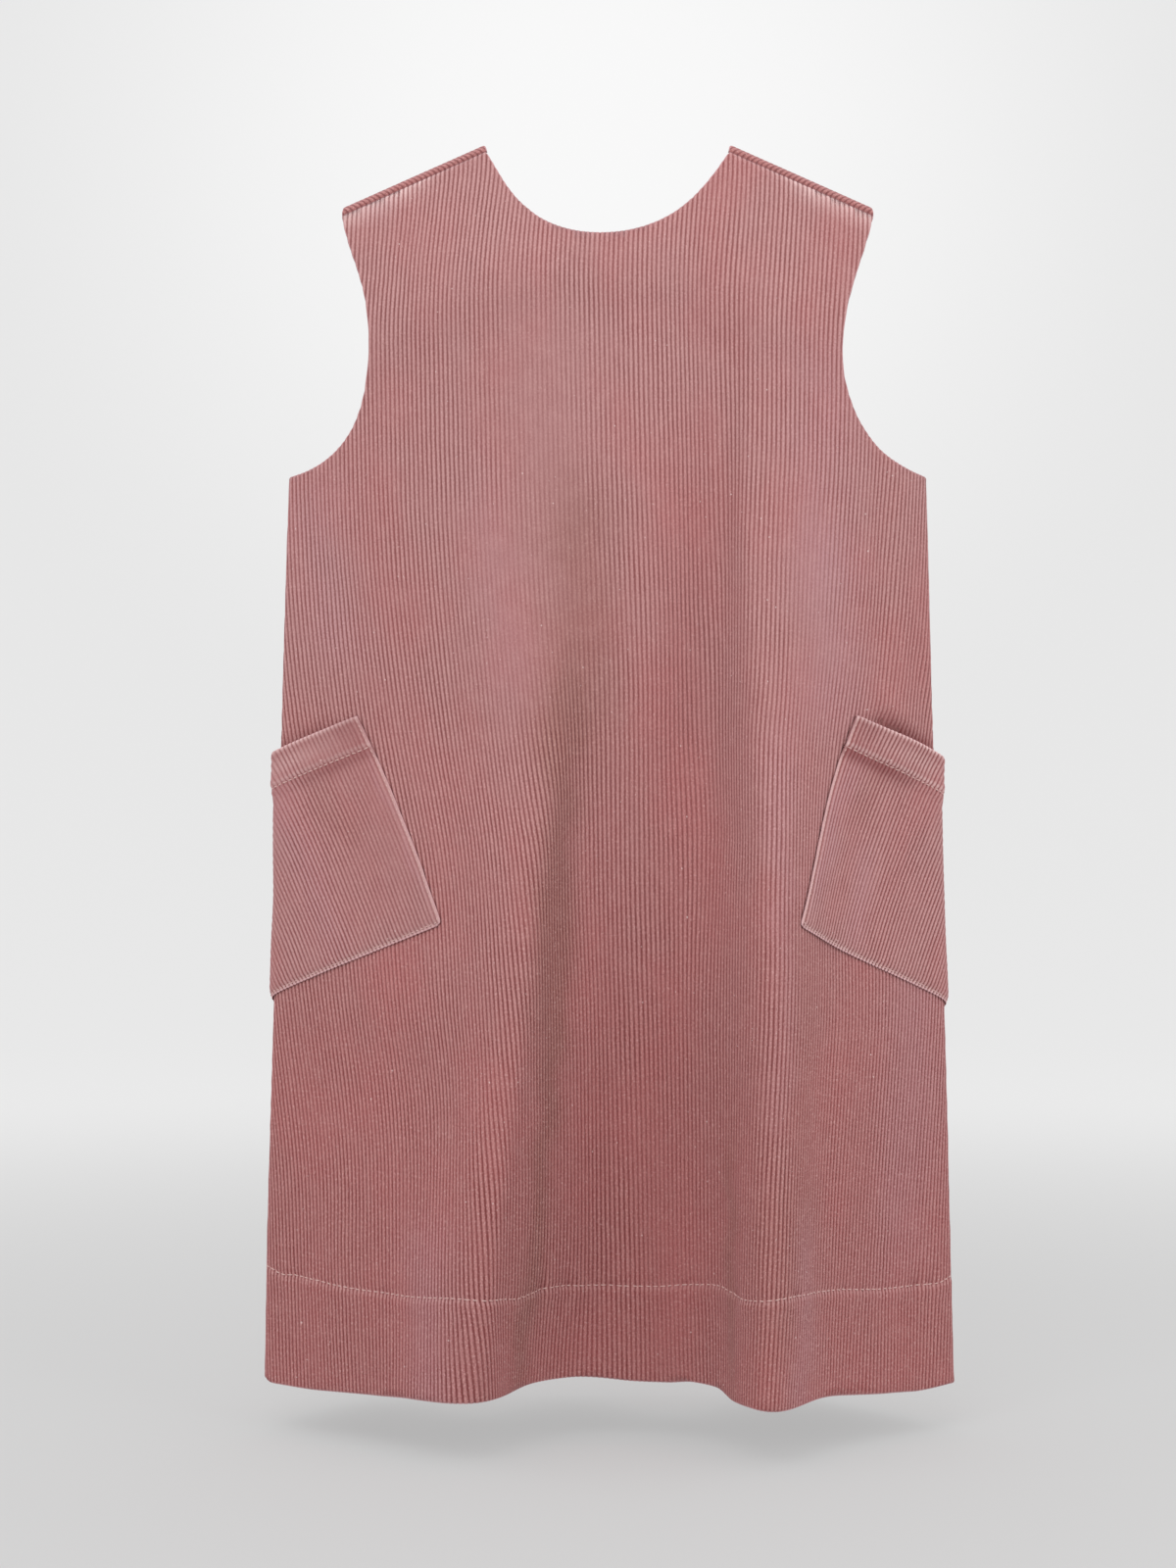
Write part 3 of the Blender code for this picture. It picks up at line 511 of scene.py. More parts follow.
def onSide(side, along, below):  # distance from the side seam, and height
    turn, flare = pocket["tilt"], flares[side]
    across = along * math.cos(turn) - below * math.sin(turn) - pocket["front"][side]
    down = along * math.sin(turn) + below * math.cos(turn)
    return (across / math.cos(flare),
            pocket["top"] - down * math.cos(flare) - sideDip(side, across) * math.sin(flare))


def onPocket(panel, side, across, height):  # the other way: where on a pocket a panel's place lies
    turn, flare = pocket["tilt"], flares[side]
    fromSeam = (shape.halfWidth(panel, side, height) - np.abs(across)) * (-1 if panel == "front" else 1)
    fromSeam = fromSeam * math.cos(flare)
    down = (pocket["top"] - height - sideDip(side, fromSeam) * math.sin(flare)) / math.cos(flare)
    fromSeam = fromSeam + pocket["front"][side]
    return (fromSeam * math.cos(turn) + down * math.sin(turn),
            down * math.cos(turn) - fromSeam * math.sin(turn))


def underPocket(panel, across, height):  # 1 under a pocket, soft at its edges
    found = np.zeros(len(across))
    for side, sign in (("left", -1), ("right", 1)):
        along, below = onPocket(panel, side, across, height)
        inside = np.minimum.reduce([along, pocket["width"] - along, below, pocket["depth"] - below])
        found += np.where(across * sign > 0, ramp(inside, -1, 3), 0)
    return found


def pocketStand(along, below):
    double = 0.7 * (1 - softStep(below, pocket["mouthStitch"] - 1 * mm, pocket["mouthHem"] + 4 * mm))
    middle = np.sin(math.pi * np.clip(along / pocket["width"], 0, 1)) ** 1.5
    slack = middle * (1 - ramp(below, 0, 70)) * pocket["slack"]
    return pocket["clear"] + cut["thickness"] * (1 + double) + slack


# Soft patches, as line ends in mm, half width, strength: mauveSheen is painted sheen where the pile catches
# the light, dullShade is painted shade in the folds' troughs and hollows, red is where the cloth looks
# redder, pressed is where the pile lies flat.
napAndLight = {
    "front": {
        "mauveSheen": (((-64, -180), (-52, -300), 15, 0.3), ((-133, -560), (-133, -660), 19, 0.55),
                  ((134, -560), (134, -660), 13, 0.55), ((214, -400), (212, -590), 24, 0.5),
                  ((-160, -180), (-150, -272), 20, 0.5), ((120, -110), (122, -230), 20, 0.45),
                  ((124, -210), (138, -310), 20, 0.6), ((150, -340), (150, -420), 18, 0.3),
                  ((104, -300), (110, -520), 9, 0.4), ((-118, -14), (-136, -34), 12, 0.6)),
        "dullShade": (((-12, -180), (-14, -330), 20, 0.7), ((-28, -290), (-40, -440), 13, 1.0),
                 ((-44, -380), (-54, -470), 12, 0.7), ((-37, -430), (-70, -650), 10, 1.0),
                 ((72, -520), (74, -650), 6, 0.7), ((118, -420), (124, -640), 24, 0.35)),
        "red": (((36, -150), (40, -420), 20, 0.7), ((-150, -330), (-150, -560), 22, 0.4),
                ((20, -450), (30, -650), 22, 0.6), ((184, -200), (200, -300), 12, 0.45)),
        "pressed": (((-36, -90), (-18, -290), 30, 0.65), ((-64, -200), (-58, -320), 20, 0.5),
                    ((112, -190), (124, -300), 20, 0.5), ((-150, -60), (-140, -130), 12, 0.3),
                    ((24, -500), (30, -650), 18, 0.35), ((74, -520), (78, -650), 7, 0.6)),
    },
    "back": {
        "mauveSheen": (((-120, -400), (-124, -650), 14, 0.7), ((-20, -380), (-24, -640), 12, 0.6),
                  ((100, -360), (98, -650), 14, 0.7), ((60, -70), (84, -150), 14, 0.5),
                  ((-100, -80), (-120, -190), 16, 0.5)),
        "dullShade": (((-88, -330), (-80, -650), 11, 0.8), ((44, -320), (40, -650), 12, 0.8),
                 ((4, -90), (8, -200), 9, 0.4)),
        "red": (((-54, -200), (-50, -460), 18, 0.5), ((70, -260), (72, -520), 14, 0.5),
                ((-180, -320), (-190, -560), 20, 0.5)),
        "pressed": (((30, -190), (24, -360), 26, 0.6), ((-110, -120), (-100, -260), 18, 0.4),
                    ((70, -420), (66, -640), 16, 0.4)),
    },
}


def napAndLightOf(kinds, across, height):  # mauveSheen, dullShade, red and pressed, each 0 to 1
    found = []
    for patches in kinds.values():
        kind = np.zeros(len(across))
        for start, end, half, strength in patches:
            t, off = alongLine(across, height, start, end, 0.0)
            off = off + 3 * mm * waves(across, height, (1.0, 90, 70, start[0]))
            kind += strength * softStep(t, -0.2, 0.2) * (1 - softStep(t, 0.8, 1.2)) * bell(off, half)
        found.append(np.clip(kind, 0, 1))
    return np.stack(found, axis=1)


def standOf(kinds, across, height):  # how much the wales stand up: less where the pile is pressed
    uneven = waves(across, height, (0.10, 61, 97, 0.7), (0.09, 23, 49, 2.9), (0.07, 11, 19, 5.0))
    return np.clip((0.95 + uneven) * (1 - kinds[:, 3]), 0.18, 1.12)


# Flat outlines: how fine they are, and what the cloth's edges do.
fine = {"edge": 0.75 * mm, "side": 3.0 * mm, "turn": 1.5 * mm, "row": 5.6 * mm, "innerRow": 10.0 * mm,
        "innerStride": 7}
rolls = {  # how far in from an edge its rounding starts, and how much of the wales' relief is left there
    "neck": (1.0 * mm, 0.4), "armhole": (1.0 * mm, 0.4), "shoulder": (0.75 * mm, 0.35),
    "side": (0.6 * mm, 0.12), "hem": (1.5 * mm, 0.3), "slit": (0.7 * mm, 0.4),
}
shifts = {  # of places on the outline, outward from where the solids have them
    "neck": {"front": -2.6 * mm, "back": 0.7 * mm},
    "fold": -3.3 * mm,   # so the end of the back's fold stays closed as seen from the front
    "waist": {"front": 0.0, "back": -2.5 * mm},
}


def topEdges(panel, side, sign):  # from the centre of the neckline to the underarm, as (kind, points)
    top, neckWidth = cut["tipHalfWidth"], cut["neckHalfWidth"]
    over, fold = ((neckWidth + shift, float(seamHeight(neckWidth + shift, which)))
                  for shift, which in ((shifts["neck"][panel], "front"), (shifts["fold"], "back")))
    tip, belowTip = ((top, float(seamHeight(top, which))) for which in (panel, "front"))
    angle, pull = cut["neckStartAngle"], cut["neckSidePull"]
    neckPull = (over[0] - pull * math.cos(angle), over[1] - pull * math.sin(angle))
    centre = (0.0, -cut["neckDrop"])
    waist, end, turn = cut["armholeWaist"][side], cut["armholeEndPull"], cut["armholeEndAngle"]
    waist = (waist[0] + shifts["waist"][panel], waist[1])
    underarm = (float(shape.halfWidth(panel, side, cut["underarm"])), cut["underarm"])
    shoulder = columnsBetween(neckWidth + 0.2 * mm, top - 0.2 * mm)
    shoulder = np.stack([shoulder, seamHeight(shoulder, panel)], axis=1)
    spans = [("neck", bezier(centre, (cut["neckCentrePull"], centre[1]), neckPull, over, fine["edge"]))]
    if panel == "back":
        spans += [("neck", straight(over, fold, fine["turn"])), ("shoulder", np.vstack([[fold], shoulder])),
                  ("armhole", straight(tip, belowTip, fine["turn"]))]
    else:
        spans.append(("shoulder", np.vstack([[over], shoulder])))
    spans.append(("armhole", bezier(
        belowTip, (belowTip[0] - 0.2 * cut["armholeTopPull"], belowTip[1] - cut["armholeTopPull"]),
        (waist[0], waist[1] + cut["armholeWaistPull"]), waist, fine["edge"])))
    spans.append(("armhole", bezier(
        waist, (waist[0], waist[1] - cut["armholeWaistPull"] * 1.4),
        (underarm[0] - end * math.cos(turn), underarm[1] + end * math.sin(turn)), underarm, fine["edge"])))
    return [(kind, points * [sign, 1.0]) for kind, points in spans]


def panelOutline(panel):  # counter-clockwise from the hem's centre: points, roll widths, relief shares
    halves = []
    for side, sign in (("right", 1.0), ("left", -1.0)):
        spans = topEdges(panel, side, sign)
        foot = float(shape.halfWidth(panel, side, cut["hemAtSide"]))
        heights = np.arange(cut["underarm"], cut["hemAtSide"] + 1.5 * mm, -fine["side"])
        spans.append(("side", np.stack([sign * shape.halfWidth(panel, side, heights), heights], axis=1)))
        reach = sign * np.concatenate([[foot], columnsBetween(0.3 * mm, foot - 0.3 * mm)[::-1]])
        spans.append(("hem", np.stack([reach, hemEdge(panel, reach, foot)], axis=1)))
        if panel == "back" or sign < 0:
            spans[0] = ("neck", spans[0][1][1:])
        if panel == "back":
            spans.insert(0, ("slit", slitEdge(sign)))
        halves.append((np.vstack([points for _, points in spans]),
                       np.vstack([np.tile(rolls[kind], (len(points), 1)) for kind, points in spans])))
    middle = float(hemEdge(panel, np.zeros(1), 1.0)[0])
    points = np.vstack([[(0.0, middle)], halves[0][0][::-1], halves[1][0]])
    facts = np.vstack([[rolls["hem"]], halves[0][1][::-1], halves[1][1]])
    facts = sum(np.roll(facts, shift, axis=0) for shift in range(-2, 3)) / 5
    return points, facts[:, 0], facts[:, 1]


def slitEdge(sign):
    top, half = -cut["neckDrop"], cut["slitHalfWidth"]
    foot = top - cut["slitLength"]
    edge = np.vstack([straight((half * sign, foot + half), (half * sign, top), fine["turn"]),
                      [(half * sign, top)]])
    return np.vstack([[(0.0, foot)], edge]) if sign > 0 else edge


def nearOutline(points, outline):  # distance to the outline, and whether inside it
    ends = np.roll(outline, -1, axis=0)
    near = np.full(len(points), np.inf)
    crossings = np.zeros(len(points), int)
    for a, b in zip(outline, ends):
        d = b - a
        t = np.clip(((points - a) @ d) / (d @ d), 0, 1)
        off = points - a - t[:, None] * d
        near = np.minimum(near, np.einsum("ij,ij->i", off, off))
        if a[1] != b[1]:
            spans = (a[1] > points[:, 1]) != (b[1] > points[:, 1])
            crossings += spans & (points[:, 0] < a[0] + d[0] * (points[:, 1] - a[1]) / d[1])
    return np.sqrt(near), crossings % 2 == 1


def insideOnly(points, outline, clear):  # the points that lie inside by more than clear
    rough = outline[::8]
    near, inside = nearOutline(points, rough)
    points, near = points[inside | (near < 2 * mm)], near[inside | (near < 2 * mm)]
    close = near < 8 * mm
    exact, within = nearOutline(points[close], outline)
    keep = np.ones(len(points), bool)
    keep[close] = within & (exact > clear)
    return points[keep]


def outwardOf(outline):  # unit normals of a counter-clockwise outline
    run = unit(np.roll(outline, -1, axis=0) - outline)
    run = unit(run + np.roll(run, 1, axis=0))
    return np.stack([run[:, 1], -run[:, 0]], axis=1)


def filled(outline, widths, lattice, toGrid, shares):
    # triangles that fill the outline: flat points, faces, and each point's share of the edge's roll
    outward = outwardOf(outline)
    points, rolled, normals = [outline], [np.ones(len(outline))], [outward]
    for share in shares:
        ring = outline - outward * (widths * share)[:, None]
        near, inside = nearOutline(ring, outline)
        good = inside & (near > 0.8 * widths * share)
        points.append(ring[good])
        rolled.append(np.full(good.sum(), 1 - share))
        normals.append(outward[good])
    lattice = insideOnly(lattice, outline, widths.max() + 0.3 * mm) if len(lattice) else lattice
    points.append(lattice)
    rolled.append(np.zeros(len(lattice)))
    normals.append(np.zeros((len(lattice), 2)))
    points, rolled, normals = np.vstack(points), np.concatenate(rolled), np.vstack(normals)
    loop = [(i, (i + 1) % len(outline)) for i in range(len(outline))]
    found = delaunay_2d_cdt([Vector(p) for p in toGrid(points)], loop, [], 1, 1e-6)
    origin = np.array([came[0] for came in found[3]])
    return points, origin[np.array(found[2])], rolled, normals


def frameOf(face, facing, u, v, step=0.4 * mm):  # point, outward normal, and the two ways along the cloth
    here = face(u, v)
    alongU = face(u + step, v) - face(u - step, v)
    alongV = face(u, v + step) - face(u, v - step)
    outward = np.cross(alongU, alongV) * facing
    return here, unit(outward), unit(alongU), unit(alongV)


def clothAt(piece, flat, rolled):  # frame, creases, wales, half thickness, and how square to the face it is
    return (*frameOf(piece["face"], piece["facing"], *flat.T), *piece["relief"](*flat.T),
            piece["thick"](*flat.T) / 2, np.sqrt(1 - rolled ** 2))


def wound(points, faces, normals):  # the faces, each turned to look the way its first point's normal does
    a, b, c = (points[faces[:, i]] for i in range(3))
    turned = np.einsum("ij,ij->i", np.cross(b - a, c - a), normals[faces[:, 0]]) < 0
    faces[turned] = faces[turned][:, ::-1]
    return faces


def addObject(name, data):
    made = bpy.data.objects.new(name, data)
    bpy.context.scene.collection.objects.link(made)
    return made


def addMesh(name, points, edges, faces, finish):
    mesh = bpy.data.meshes.new(name)
    mesh.from_pydata(points, edges, faces)
    mesh.materials.append(finish)
    mesh.shade_smooth()
    return addObject(name, mesh)


def shell(name, piece):
    # a closed sheet of cloth: a fine outer face with its wales, a plain inner face, rolled edges between them
    outline, widths, keep = piece["outline"]
    u, v = outline.T
    if ((np.roll(u, -1) - u) * (np.roll(v, -1) + v)).sum() > 0:
        outline, widths, keep = outline[::-1], widths[::-1], keep[::-1]
    count = len(outline)
    flat, faces, rolled, aside = filled(outline, widths, piece["outer"], piece["toGrid"], (0.13, 0.45, 1.0))
    flatIn, facesIn, rolledIn, _ = filled(outline, widths, piece["inner"], piece["toGrid"], (0.4, 1.0))
    fade = np.ones(len(flat))
    fade[:count] = keep
    edge = np.flatnonzero(rolled[count:] > 0) + count
    near = np.abs(flat[edge][:, None, :] - outline[None, ::4, :]).sum(2).argmin(1)
    fade[edge] = keep[::4][near] * rolled[edge] + 1 - rolled[edge]

    here, normal, alongU, alongV, body, pile, half, square = clothAt(piece, flat, rolled)
    pile = pile * fade
    aside = aside[:, :1] * alongU + aside[:, 1:] * alongV
    outer = (here + normal * (body - half * (1 - square) + pile * square)[:, None]
             + aside * (pile * rolled)[:, None])
    hereIn, normalIn, _, _, bodyIn, _, halfIn, squareIn = clothAt(piece, flatIn, rolledIn)
    inner = hereIn + normalIn * (bodyIn - halfIn * (1 + squareIn))[:, None]
    facesIn = np.where(facesIn < count, facesIn, facesIn - count + len(outer))
    points, inward = np.vstack([outer, inner[count:]]), -np.vstack([normal, normalIn[count:]])
    allFaces = np.vstack([wound(outer, faces, normal), wound(points, facesIn, inward)])

    mesh = bpy.data.meshes.new(name)
    mesh.vertices.add(len(points))
    mesh.vertices.foreach_set("co", points.astype(np.float32).ravel())
    mesh.loops.add(allFaces.size)
    mesh.loops.foreach_set("vertex_index", allFaces.astype(np.int32).ravel())
    mesh.polygons.add(len(allFaces))
    mesh.polygons.foreach_set("loop_start", np.arange(0, allFaces.size, 3, dtype=np.int32))
    mesh.update(calc_edges=True)
    mesh.validate()
    allFlat = np.vstack([flat, flatIn[count:]])
    lay = piece["napAndLight"](*allFlat.T)   # mauveSheen, dullShade, red, stand, paintedHighlight, shade, slant
    turnedOver = np.concatenate([rolled, np.zeros(len(inner) - count)])
    layers = {"flat": (allFlat[:, 0] + lay[:, 6], allFlat[:, 1], lay[:, 3]), "napAndLight": lay.T[:3],
              "edge": (turnedOver, lay[:, 4], lay[:, 5])}
    for label, values in layers.items():
        layer = mesh.attributes.new(label, "FLOAT_VECTOR", "POINT")
        layer.data.foreach_set("vector", np.column_stack(values).astype(np.float32).ravel())
    for finish in ("corduroy", "corduroyBack"):
        mesh.materials.append(finishes[finish])
    mesh.polygons.foreach_set("material_index", (np.arange(len(allFaces)) >= len(faces)).astype(np.int32))
    mesh.shade_smooth()
    print(f"  {name}: {len(allFaces)} triangles, {len(faces)} of them outside")
    return addObject(name, mesh)


def flatArea(outline):
    u, v = outline.T
    return abs((u * np.roll(v, -1) - v * np.roll(u, -1)).sum()) / 2


def dress(made, node):
    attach(made, "root")
    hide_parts(node)
    return made


class Wire:  # an output in a shader graph that takes part in sums
    def __init__(self, finish, socket):
        self.finish, self.socket = finish, socket

    def sum(self, operation, first, second):
        return self.finish.node("ShaderNodeMath", {"operation": operation}, {0: first, 1: second})

    def __add__(self, other):
        return self.sum("ADD", self, other)

    def __sub__(self, other):
        return self.sum("SUBTRACT", self, other)

    def __rsub__(self, other):
        return self.sum("SUBTRACT", other, self)

    def __mul__(self, other):
        return self.sum("MULTIPLY", self, other)

    __radd__, __rmul__ = __add__, __mul__


class Finish:
    inputs = {"colour": "Base Color", "roughness": "Roughness", "normal": "Normal", "sheen": "Sheen Weight",
              "sheenRoughness": "Sheen Roughness", "sheenTint": "Sheen Tint", "coat": "Coat Weight",
              "coatRoughness": "Coat Roughness", "specular": "Specular IOR Level", "glow": "Emission Color",
              "glowStrength": "Emission Strength"}

    def __init__(self, name):
        self.material = bpy.data.materials.new(name)
        self.material.use_nodes = True
        self.tree = self.material.node_tree

    def fill(self, made, sockets):
        for key, value in sockets.items():
            if isinstance(value, Wire):
                self.tree.links.new(value.socket, made.inputs[key])
            else:
                made.inputs[key].default_value = value

    def node(self, kind, settings, sockets, out=0):
        made = self.tree.nodes.new(kind)
        for key, value in settings.items():
            setattr(made, key, value)
        self.fill(made, sockets)
        return Wire(self, made.outputs[out])

    def attribute(self, name):
        return self.node("ShaderNodeAttribute", {"attribute_name": name}, {}, "Vector")

    def position(self):
        return self.node("ShaderNodeNewGeometry", {}, {}, "Position")

    def axis(self, vector, index):
        return self.node("ShaderNodeSeparateXYZ", {}, {0: vector}, index)

    def noise(self, vector, stretch, detail=2.0, roughness=0.5):
        vector = self.node("ShaderNodeVectorMath", {"operation": "MULTIPLY"}, {0: vector, 1: stretch})
        return self.node("ShaderNodeTexNoise", {}, {"Vector": vector, "Scale": 1.0, "Detail": detail,
                                                   "Roughness": roughness})

    def ridges(self, value, pitch):  # 0 between ridges, 0.5 on their crests
        return self.node("ShaderNodeMath", {"operation": "PINGPONG"}, {0: value * (1 / pitch), 1: 0.5})

    def between(self, value, low, high):  # 0 at low, 1 at high, soft
        return self.node("ShaderNodeMapRange", {"interpolation_type": "SMOOTHSTEP"},
                         {"Value": value, "From Min": low, "From Max": high})

    def mix(self, factor, first, second):
        return self.node("ShaderNodeMix", {"data_type": "RGBA"}, {0: factor, 6: first, 7: second}, 2)

    def bump(self, height, strength, distance):
        return self.node("ShaderNodeBump", {}, {"Strength": strength, "Distance": distance, "Height": height})

    def surface(self, **values):
        named = {self.inputs[key]: value for key, value in values.items()}
        self.fill(self.tree.nodes["Principled BSDF"], named)
        return self.material


def linear(*screen):  # a colour as a screen shows it, 0 to 255
    shares = (value / 255 for value in screen)
    return (*(c / 12.92 if c < 0.04045 else ((c + 0.055) / 1.055) ** 2.4 for c in shares), 1.0)


corduroyLook = {
    "crest": linear(199, 151, 150),
    "groove": linear(146, 92, 91),
    "lowCrest": linear(190, 130, 128),
    "lowGroove": linear(131, 67, 66),
    "paleTuft": linear(224, 180, 176),
    "darkTuft": linear(112, 58, 58),
    "mauveSheen": linear(196, 150, 159),
    "dullShade": linear(166, 120, 109),
    "dullShadeGroove": linear(106, 60, 57),
    "red": linear(188, 106, 106),
    "edge": linear(226, 180, 184),
    "paintedHighlight": linear(238, 206, 203),
    "shade": linear(118, 46, 48),
    "lint": linear(240, 214, 210),
}


corduroyPatterns = {  # how often in a metre across and along the wales, detail, roughness
    "tufts": ((1100, 700, 0), 3.0, 0.65),
    "grain": ((1500, 1000, 0), 2.0, 0.6),
    "streaks": ((1500, 70, 0), 2.0, 0.5),
    "clumps": ((150, 110, 0), 3.0, 0.6),
    "clouds": ((22, 13, 0), 2.0, 0.5),
    "specks": ((640, 520, 0), 0.0, 0.5),
}


def makeCorduroy():
    look, finish = corduroyLook, Finish("corduroy")
    axis, between, mix = finish.axis, finish.between, finish.mix
    flat, lay, edge = (finish.attribute(name) for name in ("flat", "napAndLight", "edge"))
    stand = axis(flat, 2)
    tufts, grain, streaks, clumps, clouds, specks = (
        finish.noise(flat, *settings) for settings in corduroyPatterns.values())
    # darker and redder lower down: painted shade of the light from above
    low = between(axis(flat, 1), -0.14, -0.60)
    # crests lighter and grooves darker: painted highlight on the crests and painted shade in the grooves,
    # over the wales' own relief
    crest = between(finish.ridges(axis(flat, 0), wale["pitch"]) + (tufts - 0.5) * 0.25, 0.03, 0.40)
    crest = (crest - 0.55) * (stand * (0.93 + 0.26 * clumps)) + 0.55
    colour = mix(crest, mix(low, look["groove"], look["lowGroove"]),
                 mix(low, look["crest"], look["lowCrest"]))
    strong = 0.35 + 0.35 * low + 0.3 * stand
    layers = (  # each laid over the ones before it: how much, and its colour
        (between(clouds, 0.35, 0.75) * 0.25, look["red"]),
        # painted sheen: mauve where the pile catches the light
        (axis(lay, 0) * 0.60 * (0.2 + 0.8 * crest), look["mauveSheen"]),
        (axis(lay, 2) * 0.45 * (0.2 + 0.8 * crest), look["red"]),
        # painted shade: dull and dark in the folds' troughs and hollows
        (axis(lay, 1) * 0.6, mix(crest, look["dullShadeGroove"], look["dullShade"])),
        (between(tufts, 0.50, 0.74) * (0.15 + 0.60 * crest) * strong, look["paleTuft"]),
        (between(grain, 0.50, 0.72) * 0.52 * strong, look["darkTuft"]),
        (between(streaks, 0.45, 0.75) * 0.20, look["groove"]),
        (between(clumps, 0.40, 0.75) * 0.08, look["paleTuft"]),
        # painted highlights: pale wale caps beside stitch lines and the shoulder seam, and pale beads and
        # rims along the pockets' edges
        (axis(edge, 1) * (0.18 + 0.74 * crest), look["paintedHighlight"]),
        # painted highlight: a pale rim along every rolled edge
        (between(axis(edge, 0), 0.2, 0.9) * (0.45 + 0.5 * tufts), look["edge"]),
        (axis(edge, 2) * 0.75, look["shade"]),
        (between(specks, 0.845, 0.885) * 0.6, look["lint"]),
    )
    for share, over in layers:
        colour = mix(share, colour, over)
    fuzz = tufts * 0.5 + grain * 0.3 + streaks * 0.2
    return finish.surface(colour=colour, roughness=0.9, specular=0.15, sheen=0.30, sheenRoughness=0.45,
                          sheenTint=linear(236, 196, 206), normal=finish.bump(fuzz, 0.7, 0.4 * mm))


def makeCorduroyBack():
    finish = Finish("corduroyBack")
    flat = finish.attribute("flat")
    warp, weft = (finish.ridges(finish.axis(flat, i), 0.62 * mm) for i in (0, 1))
    weave = warp * weft * 4
    cloud = finish.noise(flat, (160, 40, 1), 3.0)
    colour = finish.mix(finish.between(weave, 0.05, 0.7), linear(128, 78, 77), linear(176, 122, 120))
    colour = finish.mix(finish.between(cloud, 0.35, 0.7) * 0.3, colour, linear(150, 96, 94))
    return finish.surface(colour=colour, roughness=0.93, specular=0.1, sheen=0.1, sheenRoughness=0.5,
                          normal=finish.bump(weave, 0.5, 0.2 * mm))


def makeThread():
    finish = Finish("thread")
    twist = finish.noise(finish.position(), (2600, 2600, 2600))
    colour = finish.mix(twist, linear(204, 156, 152), linear(238, 206, 200))
    return finish.surface(colour=colour, roughness=0.7, specular=0.25, sheen=0.2,
                          normal=finish.bump(twist, 0.4, 0.1 * mm))


def makeButtonFinish():
    finish = Finish("button")
    swirl = finish.noise(finish.position(), (90, 90, 260), 3.0, 0.6)
    colour = finish.mix(finish.between(swirl, 0.3, 0.7), linear(178, 116, 112), linear(214, 160, 154))
    return finish.surface(colour=colour, roughness=0.22 + 0.12 * swirl, specular=0.5, coat=0.3,
                          coatRoughness=0.12, normal=finish.bump(swirl, 0.04, 0.1 * mm))


finishes = {"corduroy": makeCorduroy(), "corduroyBack": makeCorduroyBack(), "thread": makeThread(),
            "button": makeButtonFinish()}
print("finishes made")

def rowsOf(more, *spans):  # heights of mesh rows, from the top down: more, and spans from, to and step
    return np.unique(np.round(np.concatenate([more] + [np.arange(*span) for span in spans]), 6))[::-1]


# The two panels.
topRow, wideRows = 26 * mm, -24 * mm   # above all the cloth, and where the rows begin to lie wider apart
panelRows = rowsOf(stitchRow + np.array([9, 5.5, 3.2, 1.5, 0, -1.5, -3.2, -5.5, -9]) * mm,
                   (topRow, wideRows, -2.6 * mm), (wideRows, stitchRow + 6 * mm, -fine["row"]),
                   (stitchRow - 14 * mm, cut["hemAtCentre"], -fine["row"]))
innerRows = rowsOf(stitchRow + np.array([1.2, -1.2]) * mm,
                   (topRow, wideRows, -4 * mm), (wideRows, stitchRow + 5 * mm, -fine["innerRow"]),
                   (stitchRow - 10 * mm, cut["hemAtCentre"], -fine["innerRow"]))


def panelGrid(panel):
    def toGrid(points):
        across, height = points.T
        row = height
        for _ in range(6):
            row = height - rowBend(panel, across, row)
        order = np.interp(-row, -panelRows, np.arange(len(panelRows)))
        past = np.minimum(row - panelRows[-1], 0) / fine["row"]
        return np.stack([columnOf(across), past - order], axis=1)
    return toGrid


def panelLattice(panel, rows, stride):
    points = []
    for row in rows:
        left, right = (float(shape.halfWidth(panel, side, row)) for side in ("left", "right"))
        across = columnsBetween(-left, right, stride=stride)
        points.append(np.stack([across, row + rowBend(panel, across, np.full(len(across), row))], axis=1))
    return np.vstack(points)


seam = {  # heights and half widths in mm
    "shoulderGroove": (0.60, 0.8),
    "sideGroove": (0.45, 1.0),
    "swell": {"front": 0.50, "back": 0.15},   # of the cloth beside the shoulder seam
    "fade": 9,                                # how near a seam the creases die away
    "foldEnd": (7, 15),                       # where the back's fold over the shoulder ends
}


def fromShoulder(panel, across, height, reach=4 * mm):  # down the front or up the back from the shoulder seam
    onShoulder = np.abs(across) > cut["neckHalfWidth"] - reach
    return np.where(onShoulder, np.abs(seamHeight(across, panel) - height), 1.0)


def fromSide(panel, across, height):
    return shape.sideWidth(panel, across, height) - np.abs(across)


def seamFade(panel, across, height):  # creases die away towards a seam, so the two panels still meet there
    return (ramp(fromSide(panel, across, height), 0, seam["fade"])
            * ramp(fromShoulder(panel, across, height, 8 * mm), 0, seam["fade"]))


def seamRelief(panel, across, height):
    off, swell = fromShoulder(panel, across, height), seam["swell"][panel]
    (deep, half), (sideDeep, sideHalf) = seam["shoulderGroove"], seam["sideGroove"]
    return mm * (swell * (bell(off - 2.8 * mm, 1.5) - 0.5 * bell(off - 8 * mm, 3.5))
                 - deep * bell(off, half) - sideDeep * bell(fromSide(panel, across, height), sideHalf))


def behindMouth(panel, across, height):  # the shade on a panel just above a pocket's standing mouth
    shade = np.zeros(len(across))
    for side, sign, strength in (("left", -1, 0.35), ("right", 1, 1.0)):
        along, below = onPocket(panel, side, across, height)
        over = ramp(along, 8, 30) * (1 - ramp(along, 48, 78)) * (across * sign > 0)
        shade += strength * over * bell(below + 0.5 * mm, 4.2)   # the middle of the mouth stands out most
    return shade


